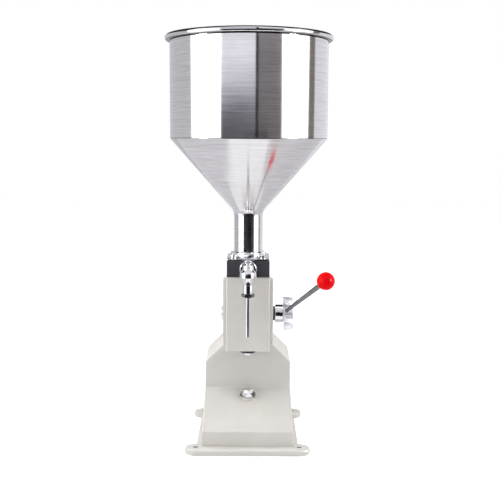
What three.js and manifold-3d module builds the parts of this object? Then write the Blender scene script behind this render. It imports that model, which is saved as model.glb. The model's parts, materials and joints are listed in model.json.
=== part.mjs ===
// Manual piston filling machine for the counter: a steel hopper over a plastic valve block, a lever
// that works a rack and piston inside the head, a nozzle in front and a cast foot with a stop bolt.
// Millimetres, +Z up, -Y is the front, +X is the lever side, origin on the ground under the hopper.

import * as THREE from 'three';
import { mergeVertices } from 'three/addons/utils/BufferGeometryUtils.js';
import Module from 'manifold-3d';

const wasm = await Module();
wasm.setup();

// Fits and facets
const gap = 0.3;
const sameCorner = 0.0001;
const overrun = 3;
const hopperSides = 60;
const largeSides = 36;
const roundSides = 24;
const smallSides = 14;
const ballSides = 28;
const beadSteps = 8;
const cornerSteps = 4;
const hexSides = 6;

// Foot plate with four bolt-down ears
const plateThickness = 9.5;
const plateHalfWidth = 87;
const plateFront = -101;
const plateRear = 130;
const earRadius = 18;
const frontEarX = 88;
const rearEarX = 84;
const footHoleRadius = 4.5;

// Cast base: sloped table in front, upright body behind it with 45 degree shoulders
const baseWall = 6;
const baseTopWall = 8;
const baseTop = 167;
const bodyHalfWidth = 78.4;
const shoulderHalfWidth = 76.3;
const shoulderHeight = 132.4;
const bodyNeckHalfWidth = 43.3;
const bodyFrontFoot = -80;
const slopeFrontY = -78;
const slopeFrontHeight = 34.4;
const uprightY = 18;
const slopeRearHeight = 84.4;
const bodyRear = 126;

// Head housing on top of the base, with a bearing pad on each side for the lever shaft
const headHalfWidth = 37.4;
const headFront = -48;
const headRear = 105;
const headHeight = 127;
const headWall = 5;
const headFloor = 8;
const headRoof = 8;
const headCornerRadius = 3;
const rearPostSize = 10;
const rearPostLength = 20;
const padHalfWidth = 43.3;
const padHalfDepth = 16;
const padFootRise = 10;
const padTopDrop = 5.3;

// Rear cover and the screws that hold it
const coverThickness = 3;
const coverInset = 0.8;
const coverScrewRadius = 2;
const coverScrewHeadRadius = 4.4;
const coverScrewCrownRadius = 3;
const coverScrewHeadHeight = 2.8;
const coverScrewGrip = 16;
const coverScrewEdge = 9.5;

// Bolts from inside the base up into the head
const headBoltRadius = 4;
const headBoltHeadRadius = 6.5;
const headBoltHeadHeight = 8;
const headBoltX = 25;
const headBoltFrontY = 42;
const headBoltRearY = 82;
const headBoltEnd = 1.5;

// Valve block under the hopper
const blockHalfWidth = 36.5;
const blockHalfDepth = 40;
const blockHeight = 28;
const blockCorner = 0.8;
const inletBoreRadius = 16;
const chamberRadius = 15;
const seatHeightInBlock = 20.6;
const portHeightInBlock = 16;
const portRadius = 4;

// Neck flange, its collar and the four bolts through the block
const flangeThickness = 3;
const flangeHalfDepth = 38;
const collarRadius = 26.4;
const collarHeight = 9.4;
const collarChamfer = 1.6;
const throatRadius = 20;
const flangeBoltPitch = 25.4;
const flangeBoltRadius = 3;
const flangeBoltHeadFlats = 10;
const flangeBoltHeadHeight = 4;
const flangeBoltEnd = 2;
const flangeWasherRadius = 6;
const flangeWasherThickness = 1.6;
const boltHoleGap = 0.3;

// Hopper: cylinder, cone and neck in one welded shell with a rolled rim
const hopperHeight = 375;
const hopperRadius = 134;
const hopperWall = 1.5;
const rimBeadRadius = 5;
const neckLength = 78;
const coneLength = 125;
const neckRadius = 24.5;
const neckBlend = 6;
const neckBlendSteps = 2;

// Rubber rings: hopper seal and barrel gasket
const sealHeight = 1.6;
const sealWidth = 3;
const hopperSealRadius = 22.5;
const barrelSealRadius = 28;

// Cylinder barrel hanging from the block, inside the head
const boreRadius = 25;
const barrelWall = 4;
const barrelLength = 48;
const barrelFlangeRadius = 31;
const barrelFlangeThickness = 4;

// Piston and its two sealing rings
const pistonBelowTop = 24;
const pistonHeight = 12;
const pistonClearance = 0.4;
const pistonRingWidth = 2.6;
const pistonRingDepth = 2.4;
const pistonRingInset = 1.8;
const pistonStudRadius = 5;
const pistonStudLength = 8;

// Rack rod, its guide bush and the pinion that drives it
const gearModule = 1.5;
const pinionTeeth = 20;
const pressureAngle = Math.PI / 9;
const backlash = 0.3;
const dedendumFactor = 1.25;
const pinionWidth = 16;
const pinionHubRadius = 11.5;
const pinionHubLength = 9;
const rodRadius = 7.8;
const rodBelowGuide = 5;
const rodChamfer = 1;
const rackPitchOffset = 5.5;
const rackTeethBelow = 5;
const rackTeethAbove = 4;
const guideRadius = 13.8;
const guideLength = 13;
const guideNeckRadius = 11;
const guideNeckAbove = 2;
const guideChamfer = 1.2;

// Lever shaft, its bearings, collar and key
const pinionHeadroom = 1.5;
const shaftRadius = 7;
const shaftLeftEnd = -44;
const bearingRadius = 10;
const bearingLength = 10;
const leftCapRadius = 12;
const leftCapThickness = 3.4;
const rightFlangeRadius = 12.4;
const rightFlangeThickness = 3;
const shaftCollarRadius = 15.6;
const shaftCollarLength = 14.2;
const shaftCollarChamfer = 1;
const setScrewRadius = 3;
const setScrewLength = 8;
const setScrewSink = 0.4;
const setScrewSocketFlats = 3;
const setScrewSocketDepth = 2.5;
const setScrewAngle = Math.PI * 0.04;
const collarScrewShare = 0.42;
const keyWidth = 5;
const keyHeight = 5;
const keyLength = 14;

// Lever: lobed hub, rod and ball knob, given at the pose of rest
const leverHubLength = 17.2;
const lobeRadius = 13.5;
const lobeOffset = 18.4;
const lobeDraft = 2;
const hubCoreRadius = 10.4;
const leverAngle = Math.PI * 0.23;
const leverLean = Math.PI * 0.178;
const leverReach = 106;
const leverThinRadius = 3.5;
const leverThickRadius = 4.3;
const leverTipRadius = 9.4;
const ballRadius = 15;
const ballSocketDepth = 11;
const ballFlatRadius = 6.4;
const hubRecessRadius = 8.6;
const hubRecessDepth = 6;
const hubWasherRadius = 8.2;
const hubWasherThickness = 1.2;
const hubScrewRadius = 2.5;
const hubScrewHeadRadius = 4.2;
const hubScrewHeadHeight = 4;
const hubScrewGrip = 12;
const hubScrewSocketFlats = 4;
const hubScrewSocketDepth = 2.4;

// Inlet check valve in the block
const inletSeatThickness = 5;
const inletSeatBore = 5;
const inletBallRadius = 7;
const cageFlangeRadius = 19;
const cageFlangeThickness = 2;
const cageRadius = 12;
const cageBore = 9;
const cageDepth = 8;
const cageFloor = 2;
const cageWindow = 9;
const inletSpringRadius = 5.5;
const springWire = 1;

// Nozzle: spigot, union nut, elbow with the outlet valve, outlet tube, tip nut and needle
const spigotRadius = 8;
const spigotGrip = 10;
const spigotCollarRadius = 10;
const spigotCollarLength = 8;
const gasketThickness = 1.5;
const unionFlats = 27;
const unionLength = 16;
const unionLip = 3.7;
const unionStandOff = 1;
const nozzleY = -75;
const elbowTubeRadius = 8;
const elbowShoulderLength = 3.4;
const bellTopRadius = 4.6;
const bellShoulderRadius = 8;
const bellRadius = 14.3;
const bellRise = 13.4;
const bellShoulderRise = 10.4;
const bellWaistRadius = 11.4;
const bellRimDrop = 7;
const bellDrop = 10.4;
const coneTopRadius = 11.6;
const coneHeight = 11;
const coneFootLength = 1.2;
const outletTubeRadius = 8.6;
const outletTubeLength = 17.4;
const outletTubeBore = 3.2;
const outletBoreRadius = 6;
const outletSeatDrop = 8;
const outletSeatThickness = 2;
const outletSeatBore = 2.8;
const outletBallRadius = 4;
const outletSpringRadius = 4.3;
const outletSpringWire = 0.8;
const tubeSpigotLength = 3;
const tipNutFlats = 20.4;
const tipNutLap = 2.4;
const tipNutHexLength = 5.1;
const tipNutSkirtLength = 2.3;
const tipNutMouthRadius = 5.2;
const needleRadius = 3.4;
const needleBore = 2.6;
const needleLength = 71.4;
const needleFlangeThickness = 1.5;

// Stop bolt and lock nut on the sloped table, under the rod
const stopSeatHeight = 71.8;
const stopSeatRadius = 14.2;
const stopBossDepth = 26.8;
const stopBossWall = 4;
const stopBoltRadius = 5;
const stopBoltLength = 60;
const stopBoltFlats = 17;
const stopBoltHeadHeight = 6.4;
const lockNutFlats = 17;
const lockNutHeight = 8;
const headChamferShare = 0.06;

// Places that follow from the sizes above
const headTop = baseTop + headHeight;
const guideBottom = baseTop - guideLength;
const rodBottom = guideBottom - rodBelowGuide;
const blockTop = headTop + blockHeight;
const flangeTop = blockTop + flangeThickness;
const hopperTop = flangeTop + hopperHeight;
const coneBottom = flangeTop + neckLength;
const coneTop = coneBottom + coneLength;
const pistonTop = headTop - pistonBelowTop;
const seatBottom = headTop + seatHeightInBlock;
const portHeight = headTop + portHeightInBlock;
const barrelBottom = headTop - barrelLength;
const pitchRadius = gearModule * pinionTeeth / 2;
const rackPitch = Math.PI * gearModule;
const shaftY = -(pitchRadius + rackPitchOffset);
const shaftHeight = barrelBottom - pinionHeadroom - gearModule - pitchRadius;
const rightFlangeEnd = padHalfWidth + rightFlangeThickness;
const shaftCollarStart = rightFlangeEnd + gap;
const leverHubStart = shaftCollarStart + shaftCollarLength;
const leverHubEnd = leverHubStart + leverHubLength;
const spigotEnd = -(blockHalfDepth + spigotCollarLength);
const elbowStart = spigotEnd - gasketThickness;
const unionStart = -(blockHalfDepth + unionStandOff);
const unionEnd = unionStart - unionLength;
const cageBottom = headTop - cageDepth;
const inletBallHeight = seatBottom - gap - Math.sqrt(inletBallRadius ** 2 - inletSeatBore ** 2);
const bellTop = portHeight + bellRise;
const bellShoulderHeight = portHeight + bellShoulderRise;
const bellRimHeight = portHeight - bellRimDrop;
const bellBottom = portHeight - bellDrop;
const coneFoot = bellBottom - coneHeight;
const elbowBottom = coneFoot - coneFootLength;
const outletTubeBottom = elbowBottom - outletTubeLength;
const tipNutTop = outletTubeBottom + tipNutLap;
const tipNutShoulder = tipNutTop - tipNutHexLength;
const tipNutBottom = tipNutShoulder - tipNutSkirtLength;
const needleTip = outletTubeBottom - needleLength;
const outletSeatTop = portHeight - outletSeatDrop;
const outletSeatBottom = outletSeatTop - outletSeatThickness;
const outletBallHeight = outletSeatBottom - gap - Math.sqrt(outletBallRadius ** 2 - outletSeatBore ** 2);
const tubeSpigotTop = elbowBottom + tubeSpigotLength;
const leverOrigin = leverHubStart - gap;
const stopBossBottom = stopSeatHeight - stopBossDepth;

// Finishes
const finish = (color, metalness, roughness) => ({ color, metalness, roughness });
const paint = finish(0xcbc7c1, 0, 0.45);
const brushed = finish(0xb9b9bb, 1, 0.3);
const polished = finish(0xd0d0d2, 1, 0.12);
const dullSteel = finish(0x8b8c8e, 1, 0.4);
const alloy = finish(0xc9cad0, 1, 0.32);
const blackPlastic = finish(0x2c292d, 0, 0.5);
const blackSteel = finish(0x17171a, 0.6, 0.4);
const redPlastic = finish(0xe01018, 0, 0.12);
const rubber = finish(0x1c1c1c, 0, 0.8);
const whitePlastic = finish(0xe9e7df, 0, 0.4);

const part = new THREE.Group();

// Closes a geometry: one set of shared vertices, no flat triangles, faces pointing out
function closed(geometry) {
  const bare = geometry.index ? geometry.toNonIndexed() : geometry.clone();
  bare.deleteAttribute('normal');
  bare.deleteAttribute('uv');
  const merged = mergeVertices(bare, sameCorner);
  const corners = merged.attributes.position;
  const source = merged.index.array;
  const kept = [];
  let volume = 0;
  const a = new THREE.Vector3();
  const b = new THREE.Vector3();
  const c = new THREE.Vector3();
  for (let i = 0; i < source.length; i += 3) {
    const [p, q, r] = [source[i], source[i + 1], source[i + 2]];
    if (p === q || q === r || r === p) continue;
    kept.push(p, q, r);
    a.fromBufferAttribute(corners, p);
    b.fromBufferAttribute(corners, q);
    c.fromBufferAttribute(corners, r);
    volume += a.dot(b.cross(c));
  }
  if (volume < 0) kept.reverse();
  merged.setIndex(kept);
  return merged;
}

function solid(geometry) {
  const shell = closed(geometry);
  const vertProperties = new Float32Array(shell.attributes.position.array);
  const triVerts = new Uint32Array(shell.index.array);
  return new wasm.Manifold(new wasm.Mesh({ numProp: 3, vertProperties, triVerts }));
}

function geometryOf(body) {
  const mesh = body.getMesh();
  const geometry = new THREE.BufferGeometry();
  geometry.setAttribute('position', new THREE.BufferAttribute(mesh.vertProperties, 3));
  geometry.setIndex(new THREE.BufferAttribute(mesh.triVerts, 1));
  return geometry;
}

function cut(body, ...tools) {
  return geometryOf(tools.reduce((left, tool) => left.subtract(solid(tool)), solid(body)));
}

function join(body, ...others) {
  return geometryOf(others.reduce((sum, other) => sum.add(solid(other)), solid(body)));
}

function meet(body, other) {
  return geometryOf(solid(body).intersect(solid(other)));
}

function add(name, geometry, look, parent = part) {
  const shell = closed(geometry);
  shell.computeVertexNormals();
  const material = new THREE.MeshStandardMaterial({ ...look, flatShading: true });
  const mesh = new THREE.Mesh(shell, material);
  mesh.name = name;
  parent.add(mesh);
  return mesh;
}

// Round bars and cones: radius at the low end, farRadius at the high end
function barZ(radius, low, high, sides = roundSides, farRadius = radius) {
  const bar = new THREE.CylinderGeometry(farRadius, radius, high - low, sides);
  return bar.rotateX(Math.PI / 2).translate(0, 0, (low + high) / 2);
}

function barY(radius, low, high, sides = roundSides, farRadius = radius) {
  const bar = new THREE.CylinderGeometry(farRadius, radius, high - low, sides);
  return bar.translate(0, (low + high) / 2, 0);
}

function barX(radius, low, high, sides = roundSides, farRadius = radius) {
  const bar = new THREE.CylinderGeometry(farRadius, radius, high - low, sides);
  return bar.rotateZ(-Math.PI / 2).translate((low + high) / 2, 0, 0);
}

function boxOf([x0, y0, z0], [x1, y1, z1]) {
  const box = new THREE.BoxGeometry(x1 - x0, y1 - y0, z1 - z0);
  return box.translate((x0 + x1) / 2, (y0 + y1) / 2, (z0 + z1) / 2);
}

// A profile of [radius, height] pairs turned about the Z axis
function turned(profile, sides = roundSides) {
  const points = profile.map(([radius, height]) => new THREE.Vector2(radius, height));
  return new THREE.LatheGeometry(points, sides).rotateX(Math.PI / 2);
}

function ringZ(outer, inner, low, high, sides = roundSides) {
  return turned([[inner, low], [outer, low], [outer, high], [inner, high], [inner, low]], sides);
}

function outline(points) {
  return new THREE.Shape(points.map(([u, v]) => new THREE.Vector2(u, v)));
}

function mirrored(rightSide) {
  const leftSide = rightSide.map(([x, z]) => [-x, z]).reverse();
  return [...rightSide, ...leftSide];
}

function prismZ(shape, low, high, curveSegments = cornerSteps) {
  const options = { depth: high - low, bevelEnabled: false, curveSegments };
  return new THREE.ExtrudeGeometry(shape, options).translate(0, 0, low);
}

// The shape's own axes become X and Z, and the prism runs along Y
function prismY(shape, low, high, curveSegments = cornerSteps) {
  return prismZ(shape, low, high, curveSegments).rotateX(Math.PI / 2).scale(1, -1, 1);
}

// The shape's own axes become Y and Z, and the prism runs along X
function prismX(shape, low, high, curveSegments = cornerSteps) {
  const turn = new THREE.Matrix4().makeBasis(
    new THREE.Vector3(0, 1, 0),
    new THREE.Vector3(0, 0, 1),
    new THREE.Vector3(1, 0, 0),
  );
  return prismZ(shape, low, high, curveSegments).applyMatrix4(turn);
}

// A rectangle with round corners at the chosen ends: front is low y, rear is high y
function roundedPlan(halfWidth, front, rear, frontRadius, rearRadius = 0) {
  const shape = new THREE.Shape();
  shape.moveTo(-halfWidth + frontRadius, front);
  shape.lineTo(halfWidth - frontRadius, front);
  if (frontRadius > 0) {
    shape.absarc(halfWidth - frontRadius, front + frontRadius, frontRadius, -Math.PI / 2, 0, false);
  }
  shape.lineTo(halfWidth, rear - rearRadius);
  if (rearRadius > 0) {
    shape.absarc(halfWidth - rearRadius, rear - rearRadius, rearRadius, 0, Math.PI / 2, false);
  }
  shape.lineTo(-halfWidth + rearRadius, rear);
  if (rearRadius > 0) {
    shape.absarc(-halfWidth + rearRadius, rear - rearRadius, rearRadius, Math.PI / 2, Math.PI, false);
  }
  shape.lineTo(-halfWidth, front + frontRadius);
  if (frontRadius > 0) {
    shape.absarc(-halfWidth + frontRadius, front + frontRadius, frontRadius, Math.PI, Math.PI * 1.5, false);
  }
  return shape;
}

// A hexagon bar along Z with its corners cut back at the chosen ends
function hexZ(flats, low, high, cornersAlongX, chamferLow = false, chamferHigh = true) {
  const cornerRadius = flats / Math.sqrt(3);
  const chamfer = flats * headChamferShare;
  let hex = barZ(cornerRadius, low, high, hexSides);
  if (cornersAlongX) hex = hex.rotateZ(Math.PI / hexSides);
  const lowRadius = chamferLow ? flats / 2 : cornerRadius;
  const highRadius = chamferHigh ? flats / 2 : cornerRadius;
  const envelope = turned([
    [0, low],
    [lowRadius, low],
    [cornerRadius, low + chamfer],
    [cornerRadius, high - chamfer],
    [highRadius, high],
    [0, high],
  ], smallSides);
  return meet(hex, envelope);
}

const slopeRise = (slopeRearHeight - slopeFrontHeight) / (uprightY - slopeFrontY);
const slopeHeightAt = (y) => slopeFrontHeight + (y - slopeFrontY) * slopeRise;

// The base's body seen from the side, drawn in by a wall where it is the hollow
function bodySide(wall, low, high) {
  const drop = wall * Math.hypot(1, slopeRise);
  return outline([
    [bodyFrontFoot + wall, low],
    [slopeFrontY + wall, slopeHeightAt(slopeFrontY + wall) - drop],
    [uprightY + wall, slopeHeightAt(uprightY + wall) - drop],
    [uprightY + wall, high],
    [bodyRear - wall, high],
    [bodyRear - wall, low],
  ]);
}

// The same body seen from the front: upright sides and 45 degree shoulders
function bodyFace(wall, low, high) {
  const shoulderDrop = wall * Math.tan(Math.PI / 8);
  const neckHeight = shoulderHeight + shoulderHalfWidth - bodyNeckHalfWidth;
  return outline(mirrored([
    [bodyHalfWidth - wall, low],
    [bodyHalfWidth - wall, plateThickness],
    [shoulderHalfWidth - wall, shoulderHeight - shoulderDrop],
    [bodyNeckHalfWidth - wall, Math.min(neckHeight - shoulderDrop, high)],
    [bodyNeckHalfWidth - wall, high],
  ]));
}

function baseBody(wall, low, high) {
  const across = prismX(bodySide(wall, low, high), -plateHalfWidth, plateHalfWidth);
  const along = prismY(bodyFace(wall, low, high), plateFront, plateRear);
  return meet(across, along);
}

function footPlate() {
  const ears = [
    [frontEarX, plateFront + earRadius],
    [-frontEarX, plateFront + earRadius],
    [rearEarX, plateRear - earRadius],
    [-rearEarX, plateRear - earRadius],
  ];
  const deck = prismZ(roundedPlan(plateHalfWidth, plateFront, plateRear, 0), 0, plateThickness);
  const lugs = ears.map(([x, y]) => barZ(earRadius, 0, plateThickness).translate(x, y, 0));
  const holes = ears.map(([x, y]) => {
    return barZ(footHoleRadius, -overrun, plateThickness + overrun, smallSides).translate(x, y, 0);
  });
  return { deck: join(deck, ...lugs), holes };
}

const headBoltPlaces = [
  [headBoltX, headBoltFrontY],
  [-headBoltX, headBoltFrontY],
  [headBoltX, headBoltRearY],
  [-headBoltX, headBoltRearY],
];

function baseCasting() {
  const { deck, holes } = footPlate();
  const outer = join(deck, baseBody(0, 0, baseTop));
  const shell = cut(outer, baseBody(baseWall, -overrun, baseTop - baseTopWall));
  const seatCutter = barZ(stopSeatRadius, stopSeatHeight, baseTop, largeSides);
  const boss = barZ(stopSeatRadius, stopBossBottom, stopSeatHeight, largeSides);
  const sleeve = barZ(stopSeatRadius + stopBossWall, stopBossBottom, baseTop, largeSides);
  const bossedShell = join(shell, meet(sleeve, baseBody(0, 0, baseTop)));
  const boltHole = barZ(stopBoltRadius + gap, stopBossBottom - overrun, stopSeatHeight + overrun);
  const headHoles = headBoltPlaces.map(([x, y]) => {
    const radius = headBoltRadius + boltHoleGap;
    return barZ(radius, baseTop - baseTopWall - overrun, baseTop + overrun, smallSides).translate(x, y, 0);
  });
  const cutters = [...holes, ...headHoles];
  return cut(join(cut(bossedShell, seatCutter), boss), boltHole, ...cutters);
}

const coverScrewPlaces = [
  [headHalfWidth - coverScrewEdge, baseTop + coverScrewEdge],
  [-(headHalfWidth - coverScrewEdge), baseTop + coverScrewEdge],
  [headHalfWidth - coverScrewEdge, headTop - coverScrewEdge],
  [-(headHalfWidth - coverScrewEdge), headTop - coverScrewEdge],
];

const flangeBoltPlaces = [
  [flangeBoltPitch, -flangeBoltPitch],
  [-flangeBoltPitch, -flangeBoltPitch],
  [flangeBoltPitch, flangeBoltPitch],
  [-flangeBoltPitch, flangeBoltPitch],
];

function flangeBoltHoles(low, high) {
  const radius = flangeBoltRadius + boltHoleGap;
  return flangeBoltPlaces.map(([x, y]) => barZ(radius, low, high, smallSides).translate(x, y, 0));
}

function headHousing() {
  const plan = roundedPlan(headHalfWidth, headFront, headRear, headCornerRadius);
  const pads = boxOf(
    [-padHalfWidth, shaftY - padHalfDepth, baseTop + padFootRise],
    [padHalfWidth, shaftY + padHalfDepth, headTop - padTopDrop],
  );
  const innerHalf = headHalfWidth - headWall;
  const inside = boxOf(
    [-innerHalf, headFront + headWall, baseTop + headFloor],
    [innerHalf, headRear + overrun, headTop - headRoof],
  );
  const postInner = innerHalf - rearPostSize;
  const posts = [-1, 1].flatMap((side) => [
    [baseTop + headFloor, baseTop + headFloor + rearPostSize],
    [headTop - headRoof - rearPostSize, headTop - headRoof],
  ].map(([low, high]) => boxOf(
    [Math.min(side * postInner, side * innerHalf), headRear - rearPostLength, low],
    [Math.max(side * postInner, side * innerHalf), headRear, high],
  )));
  const shell = join(cut(join(prismZ(plan, baseTop, headTop), pads), inside), ...posts);
  const barrelHole = barZ(boreRadius + barrelWall + gap, headTop - headRoof - overrun, headTop, largeSides);
  const flangeSeat = barZ(
    barrelFlangeRadius + gap,
    headTop - barrelFlangeThickness,
    headTop + overrun,
    largeSides,
  );
  const guideHole = barZ(guideNeckRadius + gap, baseTop - overrun, baseTop + headFloor + overrun);
  const shaftHole = barX(bearingRadius + gap, -padHalfWidth - overrun, padHalfWidth + overrun)
    .translate(0, shaftY, shaftHeight);
  const coverHoles = coverScrewPlaces.map(([x, z]) => {
    const low = headRear - coverScrewGrip - overrun;
    return barY(coverScrewRadius + gap, low, headRear + overrun, smallSides).translate(x, 0, z);
  });
  const boltHoles = headBoltPlaces.map(([x, y]) => {
    const radius = headBoltRadius + boltHoleGap;
    return barZ(radius, baseTop - overrun, baseTop + headFloor + overrun, smallSides).translate(x, y, 0);
  });
  const blockHoles = flangeBoltHoles(headTop - headRoof - overrun, headTop + overrun);
  const bores = [barrelHole, flangeSeat, guideHole, shaftHole];
  return cut(shell, ...bores, ...coverHoles, ...boltHoles, ...blockHoles);
}

function rearCover() {
  const half = headHalfWidth - coverInset;
  const plate = boxOf(
    [-half, headRear, baseTop + coverInset],
    [half, headRear + coverThickness, headTop - coverInset],
  );
  const holes = coverScrewPlaces.map(([x, z]) => {
    const high = headRear + coverThickness + overrun;
    return barY(coverScrewRadius + gap, headRear - overrun, high, smallSides).translate(x, 0, z);
  });
  return cut(plate, ...holes);
}

function coverScrew([x, z]) {
  const face = headRear + coverThickness;
  const shank = barY(coverScrewRadius, face - coverThickness - coverScrewGrip, face, smallSides);
  const head = barY(coverScrewHeadRadius, face, face + coverScrewHeadHeight, smallSides, coverScrewCrownRadius);
  return join(shank, head).translate(x, 0, z);
}

function headBolt([x, y]) {
  const seat = baseTop - baseTopWall;
  const shank = barZ(headBoltRadius, seat, baseTop + headFloor - headBoltEnd, smallSides);
  const head = barZ(headBoltHeadRadius, seat - headBoltHeadHeight, seat, smallSides);
  return join(shank, head).translate(x, y, 0);
}

function valveBlock() {
  const body = boxOf(
    [-blockHalfWidth, -blockHalfDepth, headTop],
    [blockHalfWidth, blockHalfDepth, blockTop],
  );
  const inlet = barZ(inletBoreRadius, seatBottom, blockTop + overrun);
  const chamber = barZ(chamberRadius, headTop - overrun, seatBottom);
  const cageSeat = barZ(cageFlangeRadius + gap, headTop - overrun, headTop + cageFlangeThickness);
  const groove = ringZ(
    hopperSealRadius + sealWidth / 2 + gap,
    hopperSealRadius - sealWidth / 2 - gap,
    blockTop - sealHeight - gap,
    blockTop + overrun,
  );
  const port = barY(portRadius, -blockHalfDepth - overrun, 0, smallSides).translate(0, 0, portHeight);
  const spigotHole = barY(
    spigotRadius + gap,
    -blockHalfDepth - overrun,
    -blockHalfDepth + spigotGrip + gap,
  ).translate(0, 0, portHeight);
  const boltHoles = flangeBoltHoles(headTop - overrun, blockTop + overrun);
  return cut(body, inlet, chamber, cageSeat, groove, port, spigotHole, ...boltHoles);
}

function neckFlange() {
  const plate = boxOf(
    [-blockHalfWidth, -flangeHalfDepth, blockTop],
    [blockHalfWidth, flangeHalfDepth, flangeTop],
  );
  const collar = turned([
    [0, blockTop],
    [collarRadius, blockTop],
    [collarRadius, flangeTop + collarHeight - collarChamfer],
    [collarRadius - collarChamfer, flangeTop + collarHeight],
    [0, flangeTop + collarHeight],
  ], largeSides);
  const neckSeat = barZ(neckRadius + gap, flangeTop, flangeTop + collarHeight + overrun, largeSides);
  const throat = barZ(throatRadius, blockTop - overrun, flangeTop + overrun, largeSides);
  return cut(join(plate, collar), neckSeat, throat, ...flangeBoltHoles(blockTop - overrun, flangeTop + overrun));
}

function flangeBolt([x, y]) {
  const seat = flangeTop + flangeWasherThickness;
  const shank = barZ(flangeBoltRadius, headTop - headRoof + flangeBoltEnd, seat, smallSides);
  const head = hexZ(flangeBoltHeadFlats, seat, seat + flangeBoltHeadHeight, true);
  return join(shank, head).translate(x, y, 0);
}

function flangeWasher([x, y]) {
  const top = flangeTop + flangeWasherThickness;
  return ringZ(flangeWasherRadius, flangeBoltRadius + boltHoleGap, flangeTop, top, smallSides)
    .translate(x, y, 0);
}

// Outer wall going up, rolled bead, inner wall coming down
function hopper() {
  const beadRadius = hopperRadius - hopperWall + rimBeadRadius;
  const beadHeight = hopperTop - rimBeadRadius;
  const bead = [];
  const startAngle = -Math.acos((hopperRadius - beadRadius) / rimBeadRadius);
  const endAngle = Math.PI;
  for (let i = 0; i <= beadSteps; i += 1) {
    const angle = startAngle + (endAngle - startAngle) * i / beadSteps;
    bead.push([
      beadRadius + rimBeadRadius * Math.cos(angle),
      beadHeight + rimBeadRadius * Math.sin(angle),
    ]);
  }
  const lean = Math.atan2(coneTop - coneBottom, hopperRadius - neckRadius);
  const innerRise = hopperWall * (1 - Math.sin(lean)) / Math.cos(lean);
  const blend = (radius, height) => {
    const points = [];
    for (let i = 0; i <= neckBlendSteps; i += 1) {
      const share = i / neckBlendSteps;
      const along = neckBlend * share ** 2;
      const below = neckBlend * (1 - share) ** 2;
      points.push([radius + along * Math.cos(lean), height + along * Math.sin(lean) - below]);
    }
    return points;
  };
  const innerNeckRadius = neckRadius - hopperWall;
  return turned([
    [neckRadius, flangeTop],
    ...blend(neckRadius, coneBottom),
    [hopperRadius, coneTop],
    ...bead,
    [hopperRadius - hopperWall, coneTop + innerRise],
    ...blend(innerNeckRadius, coneBottom + innerRise).reverse(),
    [innerNeckRadius, flangeTop],
    [neckRadius, flangeTop],
  ], hopperSides);
}

function grooveSeal(radius, top) {
  return ringZ(radius + sealWidth / 2, radius - sealWidth / 2, top - sealHeight, top - gap);
}

function cylinderBarrel() {
  const outer = boreRadius + barrelWall;
  const flangeBottom = headTop - barrelFlangeThickness;
  const shell = turned([
    [boreRadius, barrelBottom],
    [outer, barrelBottom],
    [outer, flangeBottom],
    [barrelFlangeRadius, flangeBottom],
    [barrelFlangeRadius, headTop],
    [boreRadius, headTop],
    [boreRadius, barrelBottom],
  ], largeSides);
  const groove = ringZ(
    barrelSealRadius + sealWidth / 2 + gap,
    barrelSealRadius - sealWidth / 2 - gap,
    headTop - sealHeight - gap,
    headTop + overrun,
    largeSides,
  );
  return cut(shell, groove);
}

const pistonBottom = pistonTop - pistonHeight;
const pistonRadius = boreRadius - pistonClearance;
const pistonGrooves = [
  pistonBottom + pistonRingInset,
  pistonTop - pistonRingInset - pistonRingWidth,
];

function piston() {
  const studHole = barZ(pistonStudRadius + gap, pistonBottom - overrun, pistonBottom + pistonStudLength + gap);
  const grooves = pistonGrooves.map((low) => ringZ(
    pistonRadius + overrun,
    pistonRadius - pistonRingDepth,
    low,
    low + pistonRingWidth,
    largeSides,
  ));
  return cut(barZ(pistonRadius, pistonBottom, pistonTop, largeSides), studHole, ...grooves);
}

function pistonRing(low) {
  const outer = pistonRadius;
  const inner = pistonRadius - pistonRingDepth + gap;
  return ringZ(outer, inner, low + gap, low + pistonRingWidth - gap, largeSides);
}

// The space that the gear cutter takes out of the rod, leaving straight-sided teeth
function rackCutter() {
  const tip = -(rackPitchOffset + gearModule);
  const root = -(rackPitchOffset - dedendumFactor * gearModule);
  const halfPitchLine = rackPitch / 4 - backlash / 2;
  const halfTip = halfPitchLine - gearModule * Math.tan(pressureAngle);
  const halfRoot = halfPitchLine + dedendumFactor * gearModule * Math.tan(pressureAngle);
  const outside = -(rodRadius + overrun);
  const first = shaftHeight - rackTeethBelow * rackPitch;
  const last = shaftHeight + rackTeethAbove * rackPitch;
  const teeth = [];
  for (let i = 0; i <= rackTeethBelow + rackTeethAbove; i += 1) {
    const centre = first + i * rackPitch;
    teeth.push([root, centre - halfRoot], [tip, centre - halfTip]);
    teeth.push([tip, centre + halfTip], [root, centre + halfRoot]);
  }
  return prismX(outline([
    [outside, first - rackPitch],
    [root, first - rackPitch / 2],
    ...teeth,
    [root, last + rackPitch / 2],
    [outside, last + rackPitch],
  ]), -(rodRadius + overrun), rodRadius + overrun);
}

function rackRod() {
  const bar = turned([
    [0, rodBottom],
    [rodRadius - rodChamfer, rodBottom],
    [rodRadius, rodBottom + rodChamfer],
    [rodRadius, pistonBottom],
    [pistonStudRadius, pistonBottom],
    [pistonStudRadius, pistonBottom + pistonStudLength],
    [0, pistonBottom + pistonStudLength],
  ]);
  return cut(bar, rackCutter());
}

function rodGuide() {
  return turned([
    [rodRadius + gap, guideBottom],
    [guideRadius - guideChamfer, guideBottom],
    [guideRadius, guideBottom + guideChamfer],
    [guideRadius, baseTop],
    [guideNeckRadius, baseTop],
    [guideNeckRadius, baseTop + headFloor + guideNeckAbove],
    [rodRadius + gap, baseTop + headFloor + guideNeckAbove],
    [rodRadius + gap, guideBottom],
  ]);
}

const involute = (angle) => Math.tan(angle) - angle;

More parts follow.
